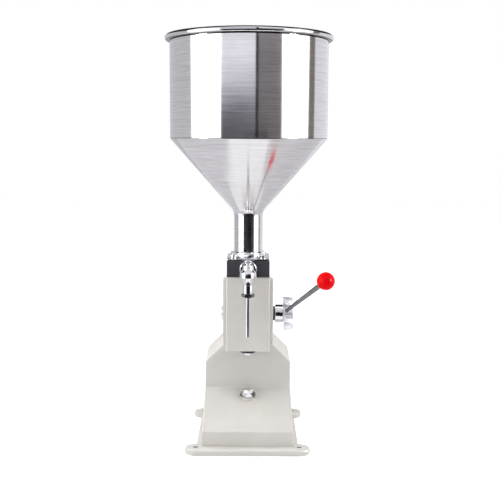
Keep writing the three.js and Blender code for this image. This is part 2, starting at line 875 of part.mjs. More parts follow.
// Half the angle that a tooth spans at a radius
function toothHalfAngle(radius) {
  const baseRadius = pitchRadius * Math.cos(pressureAngle);
  const atPitch = (rackPitch / 2 - backlash / 2) / 2 / pitchRadius;
  const angle = Math.acos(Math.min(1, baseRadius / radius));
  return atPitch + involute(pressureAngle) - involute(angle);
}

function pinion() {
  const tip = pitchRadius + gearModule;
  const root = pitchRadius - dedendumFactor * gearModule;
  const flank = [pitchRadius * Math.cos(pressureAngle), pitchRadius, tip];
  const points = [];
  for (let tooth = 0; tooth < pinionTeeth; tooth += 1) {
    const centre = (tooth + 1 / 2) * 2 * Math.PI / pinionTeeth;
    const at = (radius, angle) => [radius * Math.cos(angle), radius * Math.sin(angle)];
    points.push(at(root, centre - toothHalfAngle(flank[0])));
    flank.forEach((radius) => points.push(at(radius, centre - toothHalfAngle(radius))));
    [...flank].reverse().forEach((radius) => points.push(at(radius, centre + toothHalfAngle(radius))));
    points.push(at(root, centre + toothHalfAngle(flank[0])));
  }
  const teeth = prismX(outline(points), -pinionWidth / 2, pinionWidth / 2);
  const hub = barX(pinionHubRadius, 0, pinionWidth / 2 + pinionHubLength);
  const bore = barX(shaftRadius + gap, -pinionWidth, pinionWidth + pinionHubLength);
  const keyway = boxOf(
    [-pinionWidth, -keyWidth / 2 - gap, 0],
    [pinionWidth + pinionHubLength, keyWidth / 2 + gap, shaftRadius + keyHeight / 2 + gap],
  );
  const screwHole = barZ(setScrewRadius + gap, -pinionHubRadius - overrun, 0, smallSides)
    .translate(pinionWidth / 2 + pinionHubLength / 2, 0, 0);
  return cut(join(teeth, hub), bore, keyway, screwHole).translate(0, shaftY, shaftHeight);
}

function pinionKey() {
  const low = shaftRadius - keyHeight / 2;
  return boxOf(
    [-keyLength / 2, -keyWidth / 2, low],
    [keyLength / 2, keyWidth / 2, low + keyHeight],
  ).translate(0, shaftY, shaftHeight);
}

// A headless screw that points down -Z to the origin from outside, with a hexagon socket
function grubScrew(innerRadius, outerRadius) {
  const body = barZ(setScrewRadius, innerRadius, outerRadius, smallSides);
  const socket = barZ(
    setScrewSocketFlats / Math.sqrt(3),
    outerRadius - setScrewSocketDepth,
    outerRadius + overrun,
    hexSides,
  );
  return cut(body, socket);
}

function pinionScrew() {
  return grubScrew(shaftRadius + gap, pinionHubRadius - setScrewSink)
    .rotateX(Math.PI)
    .translate(pinionWidth / 2 + pinionHubLength / 2, shaftY, shaftHeight);
}

const hubRecessFloor = leverHubEnd - hubRecessDepth;
const shaftRightEnd = hubRecessFloor - 2 * gap;

function leverShaft() {
  const bar = barX(shaftRadius, shaftLeftEnd, shaftRightEnd);
  const low = shaftRadius - keyHeight / 2 - gap;
  const keyway = boxOf(
    [-keyLength / 2 - gap, -keyWidth / 2 - gap, low],
    [keyLength / 2 + gap, keyWidth / 2 + gap, shaftRadius + overrun],
  );
  const tapped = barX(hubScrewRadius + gap, shaftRightEnd - hubScrewGrip - gap, shaftRightEnd + overrun, smallSides);
  return cut(bar, keyway, tapped).translate(0, shaftY, shaftHeight);
}

function leftBearingCap() {
  const body = barX(bearingRadius, -padHalfWidth, -padHalfWidth + bearingLength);
  const flange = barX(leftCapRadius, -padHalfWidth - leftCapThickness, -padHalfWidth);
  const bore = barX(shaftRadius + gap, shaftLeftEnd - gap, 0);
  return cut(join(body, flange), bore).translate(0, shaftY, shaftHeight);
}

function rightBush() {
  const body = barX(bearingRadius, padHalfWidth - bearingLength, padHalfWidth);
  const flange = barX(rightFlangeRadius, padHalfWidth, rightFlangeEnd);
  const bore = barX(shaftRadius + gap, 0, rightFlangeEnd + overrun);
  return cut(join(body, flange), bore).translate(0, shaftY, shaftHeight);
}

const collarScrewX = shaftCollarStart + shaftCollarLength * collarScrewShare;

function shaftCollar() {
  const end = shaftCollarStart + shaftCollarLength - gap;
  const ring = turned([
    [shaftRadius + gap, shaftCollarStart],
    [shaftCollarRadius - shaftCollarChamfer, shaftCollarStart],
    [shaftCollarRadius, shaftCollarStart + shaftCollarChamfer],
    [shaftCollarRadius, end - shaftCollarChamfer],
    [shaftCollarRadius - shaftCollarChamfer, end],
    [shaftRadius + gap, end],
    [shaftRadius + gap, shaftCollarStart],
  ]).rotateY(Math.PI / 2);
  const hole = barZ(setScrewRadius + gap, 0, shaftCollarRadius + overrun, smallSides)
    .rotateX(Math.PI / 2 - setScrewAngle)
    .translate(collarScrewX, 0, 0);
  return cut(ring, hole).translate(0, shaftY, shaftHeight);
}

function collarSetScrew() {
  return grubScrew(shaftCollarRadius - setScrewSink - setScrewLength, shaftCollarRadius - setScrewSink)
    .rotateX(Math.PI / 2 - setScrewAngle)
    .translate(collarScrewX, shaftY, shaftHeight);
}

const leverLength = leverReach / Math.cos(leverLean);
const leverTip = leverTipRadius / Math.cos(leverLean);

// Turns a piece built along +Z into the lever's direction, from its foot on the shaft axis
function alongLever(geometry) {
  return geometry
    .rotateY(leverLean)
    .rotateX(Math.PI / 2 - leverAngle)
    .translate(leverOrigin, shaftY, shaftHeight);
}

function leverHub() {
  const lobes = [-1, 1].map((side) => {
    const lobe = barX(lobeRadius, leverHubStart, leverHubEnd, roundSides, lobeRadius - lobeDraft);
    return lobe.translate(0, side * lobeOffset, 0);
  });
  const core = barX(hubCoreRadius, leverHubStart, leverHubEnd);
  const body = join(core, ...lobes).rotateX(Math.PI / 2 - leverAngle).translate(0, shaftY, shaftHeight);
  const bore = barX(shaftRadius + gap, leverHubStart - overrun, leverHubEnd + overrun)
    .translate(0, shaftY, shaftHeight);
  const recess = barX(hubRecessRadius, hubRecessFloor, leverHubEnd + overrun)
    .translate(0, shaftY, shaftHeight);
  const socket = alongLever(barZ(leverThinRadius + gap, leverTip - gap, leverLength, smallSides));
  return cut(body, bore, recess, socket);
}

function leverRod() {
  const end = leverLength - ballRadius + ballSocketDepth;
  return alongLever(barZ(leverThinRadius, leverTip, end, smallSides, leverThickRadius));
}

function ballKnob() {
  const sphere = new THREE.SphereGeometry(ballRadius, ballSides, ballSides / 2)
    .rotateX(Math.PI / 2)
    .translate(0, 0, leverLength);
  const flat = leverLength - Math.sqrt(ballRadius ** 2 - ballFlatRadius ** 2);
  const trim = barZ(ballRadius, leverLength - ballRadius - overrun, flat);
  const socketTop = leverLength - ballRadius + ballSocketDepth + gap;
  const socket = barZ(leverThickRadius + gap, leverLength - ballRadius - overrun, socketTop, smallSides);
  return alongLever(cut(sphere, trim, socket));
}

function hubWasher() {
  const end = hubRecessFloor + hubWasherThickness;
  return cut(
    barX(hubWasherRadius, hubRecessFloor, end),
    barX(hubScrewRadius + gap, hubRecessFloor - overrun, end + overrun, smallSides),
  ).translate(0, shaftY, shaftHeight);
}

function hubScrew() {
  const seat = hubRecessFloor + hubWasherThickness;
  const end = seat + hubScrewHeadHeight;
  const shank = barX(hubScrewRadius, shaftRightEnd - hubScrewGrip, seat, smallSides);
  const head = barX(hubScrewHeadRadius, seat, end);
  const socketRadius = hubScrewSocketFlats / Math.sqrt(3);
  const socket = barX(socketRadius, end - hubScrewSocketDepth, end + overrun, hexSides);
  return cut(join(shank, head), socket).translate(0, shaftY, shaftHeight);
}

function inletSeat() {
  const mouth = inletBoreRadius - 2 * gap;
  return turned([
    [inletSeatBore, seatBottom],
    [inletBoreRadius - gap, seatBottom],
    [inletBoreRadius - gap, seatBottom + inletSeatThickness],
    [mouth - inletSeatThickness, seatBottom + inletSeatThickness],
    [inletSeatBore, seatBottom + inletSeatThickness / 2],
    [inletSeatBore, seatBottom],
  ]);
}

function inletCage() {
  const cup = turned([
    [0, cageBottom],
    [cageRadius, cageBottom],
    [cageRadius, headTop],
    [cageFlangeRadius, headTop],
    [cageFlangeRadius, headTop + cageFlangeThickness - gap],
    [cageBore, headTop + cageFlangeThickness - gap],
    [cageBore, cageBottom + cageFloor],
    [0, cageBottom + cageFloor],
  ]);
  const low = cageBottom + cageFloor;
  const windows = [
    boxOf([-cageRadius - overrun, -cageWindow / 2, low], [cageRadius + overrun, cageWindow / 2, headTop]),
    boxOf([-cageWindow / 2, -cageRadius - overrun, low], [cageWindow / 2, cageRadius + overrun, headTop]),
  ];
  return cut(cup, ...windows);
}

function checkBall(radius, height) {
  return new THREE.SphereGeometry(radius, smallSides, smallSides / 2)
    .rotateX(Math.PI / 2)
    .translate(0, 0, height);
}

// A spring's sleeve, from its seat up to just under the ball
function springSleeve(radius, wire, low, ballRadiusAbove, ballHeight) {
  const inner = radius - wire;
  const contact = ballHeight - Math.sqrt(ballRadiusAbove ** 2 - inner ** 2);
  return ringZ(radius, inner, low, contact - gap, smallSides);
}

function nozzleSpigot() {
  const grip = barY(spigotRadius, -blockHalfDepth, -blockHalfDepth + spigotGrip);
  const collar = barY(spigotCollarRadius, spigotEnd, -blockHalfDepth);
  const bore = barY(portRadius, spigotEnd - overrun, 0, smallSides);
  return cut(join(grip, collar), bore).translate(0, 0, portHeight);
}

function nozzleGasket() {
  const body = barY(spigotCollarRadius - gap, elbowStart + gap / 2, spigotEnd - gap / 2);
  return cut(body, barY(portRadius, elbowStart - overrun, 0, smallSides)).translate(0, 0, portHeight);
}

function unionNut() {
  const hex = hexZ(unionFlats, -unionStart, -unionEnd, false, true, true)
    .rotateX(Math.PI / 2);
  const pocket = barY(spigotCollarRadius + gap, unionEnd + unionLip, unionStart + overrun);
  const lip = barY(elbowTubeRadius + gap, unionEnd - overrun, unionStart);
  return cut(hex, pocket, lip).translate(0, 0, portHeight);
}

function nozzleElbow() {
  const bell = turned([
    [0, elbowBottom],
    [outletTubeRadius, elbowBottom],
    [outletTubeRadius, coneFoot],
    [coneTopRadius, bellBottom],
    [bellRadius, bellBottom],
    [bellRadius, bellRimHeight],
    [bellWaistRadius, portHeight],
    [bellShoulderRadius, bellShoulderHeight],
    [bellTopRadius, bellTop],
    [0, bellTop],
  ]).translate(0, nozzleY, 0);
  const tube = barY(elbowTubeRadius, nozzleY, elbowStart).translate(0, 0, portHeight);
  const shoulder = barY(spigotCollarRadius, elbowStart - elbowShoulderLength, elbowStart)
    .translate(0, 0, portHeight);
  const bore = barY(portRadius, nozzleY, elbowStart + overrun, smallSides).translate(0, 0, portHeight);
  const drop = barZ(portRadius, elbowBottom, portHeight, smallSides).translate(0, nozzleY, 0);
  const valveBore = barZ(outletBoreRadius, elbowBottom - overrun, outletSeatTop).translate(0, nozzleY, 0);
  return cut(join(bell, tube, shoulder), bore, drop, valveBore);
}

function outletSeat() {
  const outer = outletBoreRadius - gap;
  return ringZ(outer, outletSeatBore, outletSeatBottom, outletSeatTop).translate(0, nozzleY, 0);
}

function outletTube() {
  const spigot = outletBoreRadius - gap;
  return turned([
    [outletTubeBore, outletTubeBottom],
    [outletTubeRadius, outletTubeBottom],
    [outletTubeRadius, elbowBottom],
    [spigot, elbowBottom],
    [spigot, tubeSpigotTop],
    [outletTubeBore, tubeSpigotTop],
    [outletTubeBore, outletTubeBottom],
  ]).translate(0, nozzleY, 0);
}

function tipNut() {
  const hex = hexZ(tipNutFlats, tipNutShoulder, tipNutTop, true, true, true);
  const skirt = barZ(tipNutMouthRadius, tipNutBottom, tipNutShoulder, roundSides, tipNutFlats / 2);
  const pocket = barZ(
    outletTubeRadius + gap,
    outletTubeBottom - needleFlangeThickness,
    tipNutTop + overrun,
  );
  const bore = barZ(needleRadius + gap, tipNutBottom - overrun, tipNutTop, smallSides);
  return cut(join(hex, skirt), pocket, bore).translate(0, nozzleY, 0);
}

function needle() {
  const flangeBottom = outletTubeBottom - needleFlangeThickness;
  return turned([
    [needleBore, needleTip],
    [needleRadius, needleTip],
    [needleRadius, flangeBottom],
    [outletTubeRadius, flangeBottom],
    [outletTubeRadius, outletTubeBottom],
    [needleBore, outletTubeBottom],
    [needleBore, needleTip],
  ], smallSides).translate(0, nozzleY, 0);
}

function lockNut() {
  const nut = hexZ(lockNutFlats, stopSeatHeight, stopSeatHeight + lockNutHeight, true, true, true);
  const hole = barZ(stopBoltRadius + gap, stopSeatHeight - overrun, baseTop, smallSides);
  return cut(nut, hole);
}

function stopBolt() {
  const seat = stopSeatHeight + lockNutHeight + gap;
  const head = hexZ(stopBoltFlats, seat, seat + stopBoltHeadHeight, false);
  return join(barZ(stopBoltRadius, seat - stopBoltLength, seat, smallSides), head);
}

// The foot and the head
add('base_casting', baseCasting(), paint);
add('head_housing', headHousing(), paint);
add('rear_cover', rearCover(), paint);
coverScrewPlaces.forEach((place, i) => add(`rear_cover_screw_${i + 1}`, coverScrew(place), polished));
headBoltPlaces.forEach((place, i) => add(`head_bolt_${i + 1}`, headBolt(place), blackSteel));

// The stop under the rod
add('stop_lock_nut', lockNut(), polished);
add('stop_bolt', stopBolt(), polished);

// The valve block and the hopper on it
add('valve_block', valveBlock(), blackPlastic);
add('neck_flange', neckFlange(), polished);
flangeBoltPlaces.forEach((place, i) => {
  add(`flange_washer_${i + 1}`, flangeWasher(place), polished);
  add(`flange_bolt_${i + 1}`, flangeBolt(place), polished);
});
add('hopper', hopper(), brushed);
add('hopper_seal', grooveSeal(hopperSealRadius, blockTop), rubber);
add('inlet_seat', inletSeat(), whitePlastic);
add('inlet_cage', inletCage(), polished);
add('inlet_ball', checkBall(inletBallRadius, inletBallHeight), polished);
add('inlet_spring', springSleeve(
  inletSpringRadius,
  springWire,
  cageBottom + cageFloor,
  inletBallRadius,
  inletBallHeight,
), dullSteel);

// The cylinder with its piston and rack
add('cylinder_barrel', cylinderBarrel(), polished);
add('barrel_gasket', grooveSeal(barrelSealRadius, headTop), rubber);
add('piston', piston(), whitePlastic);
pistonGrooves.forEach((low, i) => add(`piston_ring_${i + 1}`, pistonRing(low), rubber));
add('rack_rod', rackRod(), polished);
add('rod_guide', rodGuide(), blackPlastic);

// The lever and what it turns
add('left_bearing_cap', leftBearingCap(), alloy);
add('right_bush', rightBush(), blackPlastic);
add('lever_shaft', leverShaft(), dullSteel);
add('drive_pinion', pinion(), dullSteel);
add('pinion_key', pinionKey(), dullSteel);
add('pinion_set_screw', pinionScrew(), blackSteel);
add('shaft_collar', shaftCollar(), alloy);
add('collar_set_screw', collarSetScrew(), blackSteel);
add('lever_hub', leverHub(), alloy);
add('hub_washer', hubWasher(), polished);
add('hub_screw', hubScrew(), polished);
add('lever_rod', leverRod(), dullSteel);
add('ball_knob', ballKnob(), redPlastic);

// The nozzle
add('nozzle_spigot', nozzleSpigot(), polished);
add('nozzle_gasket', nozzleGasket(), rubber);
add('union_nut', unionNut(), polished);
add('nozzle_elbow', nozzleElbow(), polished);
add('outlet_seat', outletSeat(), whitePlastic);
add('outlet_ball', checkBall(outletBallRadius, outletBallHeight).translate(0, nozzleY, 0), polished);
add('outlet_spring', springSleeve(
  outletSpringRadius,
  outletSpringWire,
  tubeSpigotTop,
  outletBallRadius,
  outletBallHeight,
).translate(0, nozzleY, 0), dullSteel);
add('outlet_tube', outletTube(), polished);
add('tip_nut', tipNut(), polished);
add('needle', needle(), polished);

export default part;
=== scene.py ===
"""Looks of the manual piston filling machine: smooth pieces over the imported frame, their finishes,
the studio and the camera. Lengths are in millimetres and become metres where a mesh is made."""

import math

import bpy
from mathutils import Matrix, Vector
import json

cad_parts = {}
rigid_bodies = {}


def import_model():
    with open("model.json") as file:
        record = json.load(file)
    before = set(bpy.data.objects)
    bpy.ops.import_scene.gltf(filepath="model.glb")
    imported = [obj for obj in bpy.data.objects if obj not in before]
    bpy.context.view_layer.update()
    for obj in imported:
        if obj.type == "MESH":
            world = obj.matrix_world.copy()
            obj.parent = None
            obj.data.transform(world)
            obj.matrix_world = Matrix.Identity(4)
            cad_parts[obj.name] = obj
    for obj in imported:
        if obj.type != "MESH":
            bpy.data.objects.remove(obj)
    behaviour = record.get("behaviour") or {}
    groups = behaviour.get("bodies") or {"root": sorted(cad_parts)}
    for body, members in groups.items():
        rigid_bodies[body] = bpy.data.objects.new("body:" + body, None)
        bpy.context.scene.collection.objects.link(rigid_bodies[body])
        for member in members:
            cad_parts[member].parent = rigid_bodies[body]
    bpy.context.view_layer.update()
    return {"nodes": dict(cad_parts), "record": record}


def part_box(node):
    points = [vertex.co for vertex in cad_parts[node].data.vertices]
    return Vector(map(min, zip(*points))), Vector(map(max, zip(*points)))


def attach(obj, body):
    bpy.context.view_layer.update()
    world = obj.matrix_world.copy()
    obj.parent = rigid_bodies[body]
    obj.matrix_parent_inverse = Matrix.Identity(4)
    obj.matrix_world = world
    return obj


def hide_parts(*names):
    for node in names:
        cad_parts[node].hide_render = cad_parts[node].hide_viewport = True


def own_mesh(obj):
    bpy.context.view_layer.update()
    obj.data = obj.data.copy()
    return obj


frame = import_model()

MM = 0.001
FULL_TURN = 2 * math.pi
ROUND_STEPS = 64
LARGE_STEPS = 144
OVERRUN = 3

# Hopper
HOPPER_TOP = 699.8
HOPPER_RADIUS = 133.9
HOPPER_WALL = 1.5
BEAD_RADIUS = 4.9
BEAD_STEPS = 14
CONE_TOP = 528
CONE_BOTTOM = 403
NECK_RADIUS = 24.5
NECK_BLEND = 7
SEAM_SOFTNESS = 1.2

# Flange, block and their bolts
FLANGE_TOP = 325
BLOCK_TOP = 322
BLOCK_BOTTOM = 294
BLOCK_HALF_WIDTH = 36.5
BLOCK_HALF_DEPTH = 40
FLANGE_HALF_DEPTH = 38
COLLAR_RADIUS = 26.4
COLLAR_HEIGHT = 9.4
THROAT_RADIUS = 20
INLET_RADIUS = 16
BOLT_PITCH = 25.4
BOLT_RADIUS = 3
BOLT_HEAD_FLATS = 10
BOLT_HEAD_HEIGHT = 4
WASHER_RADIUS = 6
WASHER_THICKNESS = 1.6
PORT_HEIGHT = 310

# Head housing
HEAD_HALF_WIDTH = 37.4
HEAD_FRONT = -48
HEAD_REAR = 105
HEAD_TOP = 294
HEAD_BOTTOM = 167
HEAD_CORNER = 2.6
HEAD_WALL = 5
HEAD_FLOOR = 8
PAD_HALF_WIDTH = 43.3
PAD_HALF_DEPTH = 16
PAD_BOTTOM = 177
PAD_TOP = 288.7
COVER_THICKNESS = 3
COVER_INSET = 0.8
COVER_SCREW_EDGE = 9.5

# Base casting
PLATE_THICKNESS = 9.5
PLATE_HALF_WIDTH = 87
PLATE_FRONT = -101
PLATE_REAR = 130
EAR_RADIUS = 18
EARS = ((88, -83), (-88, -83), (84, 112), (-84, 112))
FOOT_HOLE_RADIUS = 4.5
BASE_WALL = 6
BASE_TOP_WALL = 8
BASE_TOP = 167
SLOPE_FRONT = (-78, 34.4)
SLOPE_REAR = (18, 84.4)
FRONT_FOOT = -80
BODY_REAR = 126
FACE_RIGHT = ((78.55, 0), (76.3, 132.4), (41.7, 167))
BODY_SOFTNESS = 2.4
FOOT_SOFTNESS = 1.8
STOP_SEAT = 71.8
STOP_SEAT_RADIUS = 14.2
STOP_BOSS_BOTTOM = 45
HEAD_BOLTS = ((25, 42), (-25, 42), (25, 82), (-25, 82))

# Lever
SHAFT_Y = -20.5
SHAFT_HEIGHT = 228
LEVER_ANGLE = math.pi * 0.23
LEVER_LEAN = math.pi * 0.178
LEVER_ORIGIN = 60.5
LEVER_LENGTH = 106 / math.cos(LEVER_LEAN)
LEVER_TIP = 9.4 / math.cos(LEVER_LEAN)
BALL_RADIUS = 14.95

# Nozzle
NOZZLE_Y = -75


def alone(piece):
    """Selects one object and makes it the active one."""
    bpy.ops.object.select_all(action="DESELECT")
    piece.select_set(True)
    bpy.context.view_layer.objects.active = piece


def start_chain(name, points):
    """A chain of edges through points in mm, left in edit mode with all of it selected."""
    bpy.ops.object.select_all(action="DESELECT")
    bpy.ops.mesh.primitive_plane_add(size=MM)
    piece = bpy.context.object
    piece.name = piece.data.name = name
    bpy.ops.object.mode_set(mode="EDIT")
    bpy.ops.mesh.select_all(action="SELECT")
    bpy.ops.mesh.merge(type="CENTER")
    here = Vector((0, 0, 0))
    for index, point in enumerate(points):
        there = Vector(point) * MM
        step = there - here
        if index == 0:
            bpy.ops.transform.translate(value=step)
        else:
            bpy.ops.mesh.extrude_region_move(TRANSFORM_OT_translate={"value": step})
        here = there
    bpy.ops.mesh.select_all(action="SELECT")
    return piece


def end_shape():
    bpy.ops.mesh.select_all(action="SELECT")
    bpy.ops.mesh.remove_doubles(threshold=0.001 * MM)
    bpy.ops.mesh.normals_make_consistent(inside=False)
    bpy.ops.object.mode_set(mode="OBJECT")


def on_axis(axis, radius, height):
    """The point of a profile: radius from the axis and height along it."""
    return {"X": (height, radius, 0), "Y": (radius, height, 0), "Z": (radius, 0, height)}[axis]


def turned(name, profile, axis="Z", centre=(0, 0, 0), steps=ROUND_STEPS):
    """A profile of (radius, height) pairs turned about an axis through centre."""
    middle = Vector(centre)
    points = [middle + Vector(on_axis(axis, r, h)) for r, h in profile]
    piece = start_chain(name, points)
    direction = {"X": (1, 0, 0), "Y": (0, 1, 0), "Z": (0, 0, 1)}[axis]
    bpy.ops.mesh.spin(steps=steps, angle=FULL_TURN, center=middle * MM, axis=direction)
    end_shape()
    return piece


def bar(name, radius, low, high, axis="Z", centre=(0, 0, 0), chamfer=0, steps=ROUND_STEPS):
    """A round bar with an optional chamfer at both ends."""
    if chamfer:
        profile = [
            (0, low),
            (radius - chamfer, low),
            (radius, low + chamfer),
            (radius, high - chamfer),
            (radius - chamfer, high),
            (0, high),
        ]
    else:
        profile = [(0, low), (radius, low), (radius, high), (0, high)]
    return turned(name, profile, axis, centre, steps)


def ring(name, outer, inner, low, high, axis="Z", centre=(0, 0, 0), chamfer=0.3):
    profile = [
        (inner + chamfer, low),
        (outer - chamfer, low),
        (outer, low + chamfer),
        (outer, high - chamfer),
        (outer - chamfer, high),
        (inner + chamfer, high),
        (inner, high - chamfer),
        (inner, low + chamfer),
        (inner + chamfer, low),
    ]
    return turned(name, profile, axis, centre)


def prism(name, outline, axis, low, high):
    """A flat outline carried along an axis. Its own axes are the other two, in X, Y, Z order."""
    place = {
        "X": lambda u, v: (low, u, v),
        "Y": lambda u, v: (u, low, v),
        "Z": lambda u, v: (u, v, low),
    }[axis]
    way = {"X": (1, 0, 0), "Y": (0, 1, 0), "Z": (0, 0, 1)}[axis]
    piece = start_chain(name, [place(u, v) for u, v in outline])
    bpy.ops.mesh.edge_face_add()
    step = Vector(way) * (high - low) * MM
    bpy.ops.mesh.extrude_region_move(TRANSFORM_OT_translate={"value": step})
    end_shape()
    return piece


def rounded(x0, y0, x1, y1, radii, steps=6):
    """A rectangle's outline with its own radius at each corner, from low X and low Y round."""
    corners = (
        (x0, y0, 1, 1, math.pi),
        (x1, y0, -1, 1, math.pi * 1.5),
        (x1, y1, -1, -1, 0),
        (x0, y1, 1, -1, math.pi * 0.5),
    )
    points = []
    for (x, y, sx, sy, start), radius in zip(corners, radii):
        if radius == 0:
            points.append((x, y))
            continue
        for i in range(steps + 1):
            angle = start + math.pi / 2 * i / steps
            points.append(
                (x + sx * radius + radius * math.cos(angle), y + sy * radius + radius * math.sin(angle))
            )
    return points


def box(name, low, high):
    return prism(name, rounded(low[0], low[1], high[0], high[1], (0, 0, 0, 0)), "Z", low[2], high[2])


def apply_last(piece):
    bpy.ops.object.modifier_apply(modifier=piece.modifiers[-1].name)


def combine(piece, others, operation):
    alone(piece)
    for other in others:
        bpy.ops.object.modifier_add(type="BOOLEAN")
        modifier = piece.modifiers[-1]
        modifier.operation = operation
        modifier.solver = "EXACT"
        modifier.object = other
        apply_last(piece)
        bpy.data.objects.remove(other)
    return piece


def carve(piece, *cutters):
    return combine(piece, cutters, "DIFFERENCE")


def weld(piece, *others):
    return combine(piece, others, "UNION")


def shared(piece, *others):
    return combine(piece, others, "INTERSECT")


def soften(piece, width, segments=2, angle=30):
    """Rounds the sharp edges of a piece, no more than its smallest faces allow."""
    alone(piece)
    bpy.ops.object.mode_set(mode="EDIT")
    bpy.ops.mesh.select_all(action="SELECT")
    bpy.ops.mesh.remove_doubles(threshold=0.005 * MM)
    bpy.ops.mesh.dissolve_limited(angle_limit=math.radians(0.5))
    bpy.ops.object.mode_set(mode="OBJECT")
    bpy.ops.object.modifier_add(type="BEVEL")
    modifier = piece.modifiers[-1]
    modifier.width = width * MM
    modifier.segments = segments
    modifier.limit_method = "ANGLE"
    modifier.angle_limit = math.radians(angle)
    apply_last(piece)
    return piece


def move(piece, matrix):
    """Turns and moves a finished shape by its vertices, so that the object stays at the origin."""
    piece.data.transform(matrix)
    piece.data.update()
    return piece


def shift(piece, x=0, y=0, z=0):
    return move(piece, Matrix.Translation(Vector((x, y, z)) * MM))


RECORD = frame["record"]
NODE_SLOT = {entry["node"]: entry["material_slot"] for entry in RECORD["subparts"]}
NODE_BODY = {node: body for body, nodes in RECORD["behaviour"]["bodies"].items() for node in nodes}


def stand_for(piece, node, smooth_angle=35, finish=None):
    """Makes a finished shape the looks of one node: its shading, body, slot and finish."""
    alone(piece)
    bpy.ops.object.shade_smooth_by_angle(angle=math.radians(smooth_angle))
    piece.name = piece.data.name = f"look_{node}"
    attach(piece, NODE_BODY[node])
    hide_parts(node)
    piece.data.materials.clear()
    piece.data.materials.append(FINISHES[finish or NODE_SLOT[node]])
    return piece


# ---- finishes


def add_node(tree, kind, inputs=None, **settings):
    made = tree.nodes.new(kind)
    for key, value in settings.items():
        setattr(made, key, value)
    for socket, value in (inputs or {}).items():
        if isinstance(value, bpy.types.NodeSocket):
            tree.links.new(value, made.inputs[socket])
        else:
            made.inputs[socket].default_value = value
    return made


def new_finish(name):
    material = bpy.data.materials.new(name)
    material.use_nodes = True
    tree = material.node_tree
    surface = tree.nodes["Principled BSDF"]
    coordinates = add_node(tree, "ShaderNodeTexCoord").outputs["Object"]
    return material, tree, surface, coordinates


def noise(tree, vector, scale, detail=2.0, roughness=0.5):
    made = add_node(
        tree,
        "ShaderNodeTexNoise",
        {"Vector": vector, "Scale": scale, "Detail": detail, "Roughness": roughness},
    )
    return made.outputs["Fac"]


def ramp_value(tree, value, low, high, from_low=0.3, from_high=0.7):
    made = add_node(
        tree,
        "ShaderNodeMapRange",
        {"Value": value, "From Min": from_low, "From Max": from_high, "To Min": low, "To Max": high},
    )
    return made.outputs["Result"]


def ramp_colour(tree, value, low, high, from_low=0.3, from_high=0.7):
    made = add_node(tree, "ShaderNodeValToRGB", {"Fac": value})
    first, last = made.color_ramp.elements
    first.position, last.position = from_low, from_high
    first.color, last.color = (*low, 1), (*high, 1)
    return made.outputs["Color"]


def bump(tree, height, distance, strength=1.0, under=None):
    inputs = {"Height": height, "Distance": distance, "Strength": strength}
    if under is not None:
        inputs["Normal"] = under
    return add_node(tree, "ShaderNodeBump", inputs).outputs["Normal"]


def stretched(tree, vector, factors):
    made = add_node(tree, "ShaderNodeMapping", {"Vector": vector, "Scale": factors})
    return made.outputs["Vector"]


def round_coordinates(tree, vector, axis="Z"):
    """Angle, radius and height about the axis, so that grain can run round a turned piece."""
    parts = add_node(tree, "ShaderNodeSeparateXYZ", {"Vector": vector}).outputs
    across, along = {"Z": (("X", "Y"), "Z"), "X": (("Y", "Z"), "X"), "Y": (("X", "Z"), "Y")}[axis]
    flipped = add_node(tree, "ShaderNodeMath", {0: parts[across[1]], 1: -1.0}, operation="MULTIPLY")
    angle = add_node(
        tree, "ShaderNodeMath", {0: parts[across[0]], 1: flipped.outputs[0]}, operation="ARCTAN2"
    )
    flat = add_node(tree, "ShaderNodeCombineXYZ", {"X": parts[across[0]], "Y": parts[across[1]]})
    radius = add_node(tree, "ShaderNodeVectorMath", {0: flat.outputs[0]}, operation="LENGTH")
    made = add_node(
        tree,
        "ShaderNodeCombineXYZ",
        {"X": angle.outputs[0], "Y": radius.outputs["Value"], "Z": parts[along]},
    )
    return made.outputs[0]


def paint_finish():
    """Warm grey enamel over sand-cast iron: faint unevenness and a fine orange peel."""
    material, tree, surface, where = new_finish("painted_casting")
    wide = noise(tree, where, 26, 3)
    fine = noise(tree, where, 900, 2)
    surface.inputs["Base Color"].default_value = (0.6, 0.57, 0.53, 1)
    colour = ramp_colour(tree, wide, (0.575, 0.552, 0.515), (0.61, 0.588, 0.552))
    tree.links.new(colour, surface.inputs["Base Color"])
    tree.links.new(ramp_value(tree, noise(tree, where, 150, 3), 0.38, 0.52), surface.inputs["Roughness"])
    soft = bump(tree, wide, 0.0012, 0.35)
    tree.links.new(bump(tree, fine, 0.00012, 0.4, soft), surface.inputs["Normal"])
    surface.inputs["Coat Weight"].default_value = 0.25
    surface.inputs["Coat Roughness"].default_value = 0.2
    return material


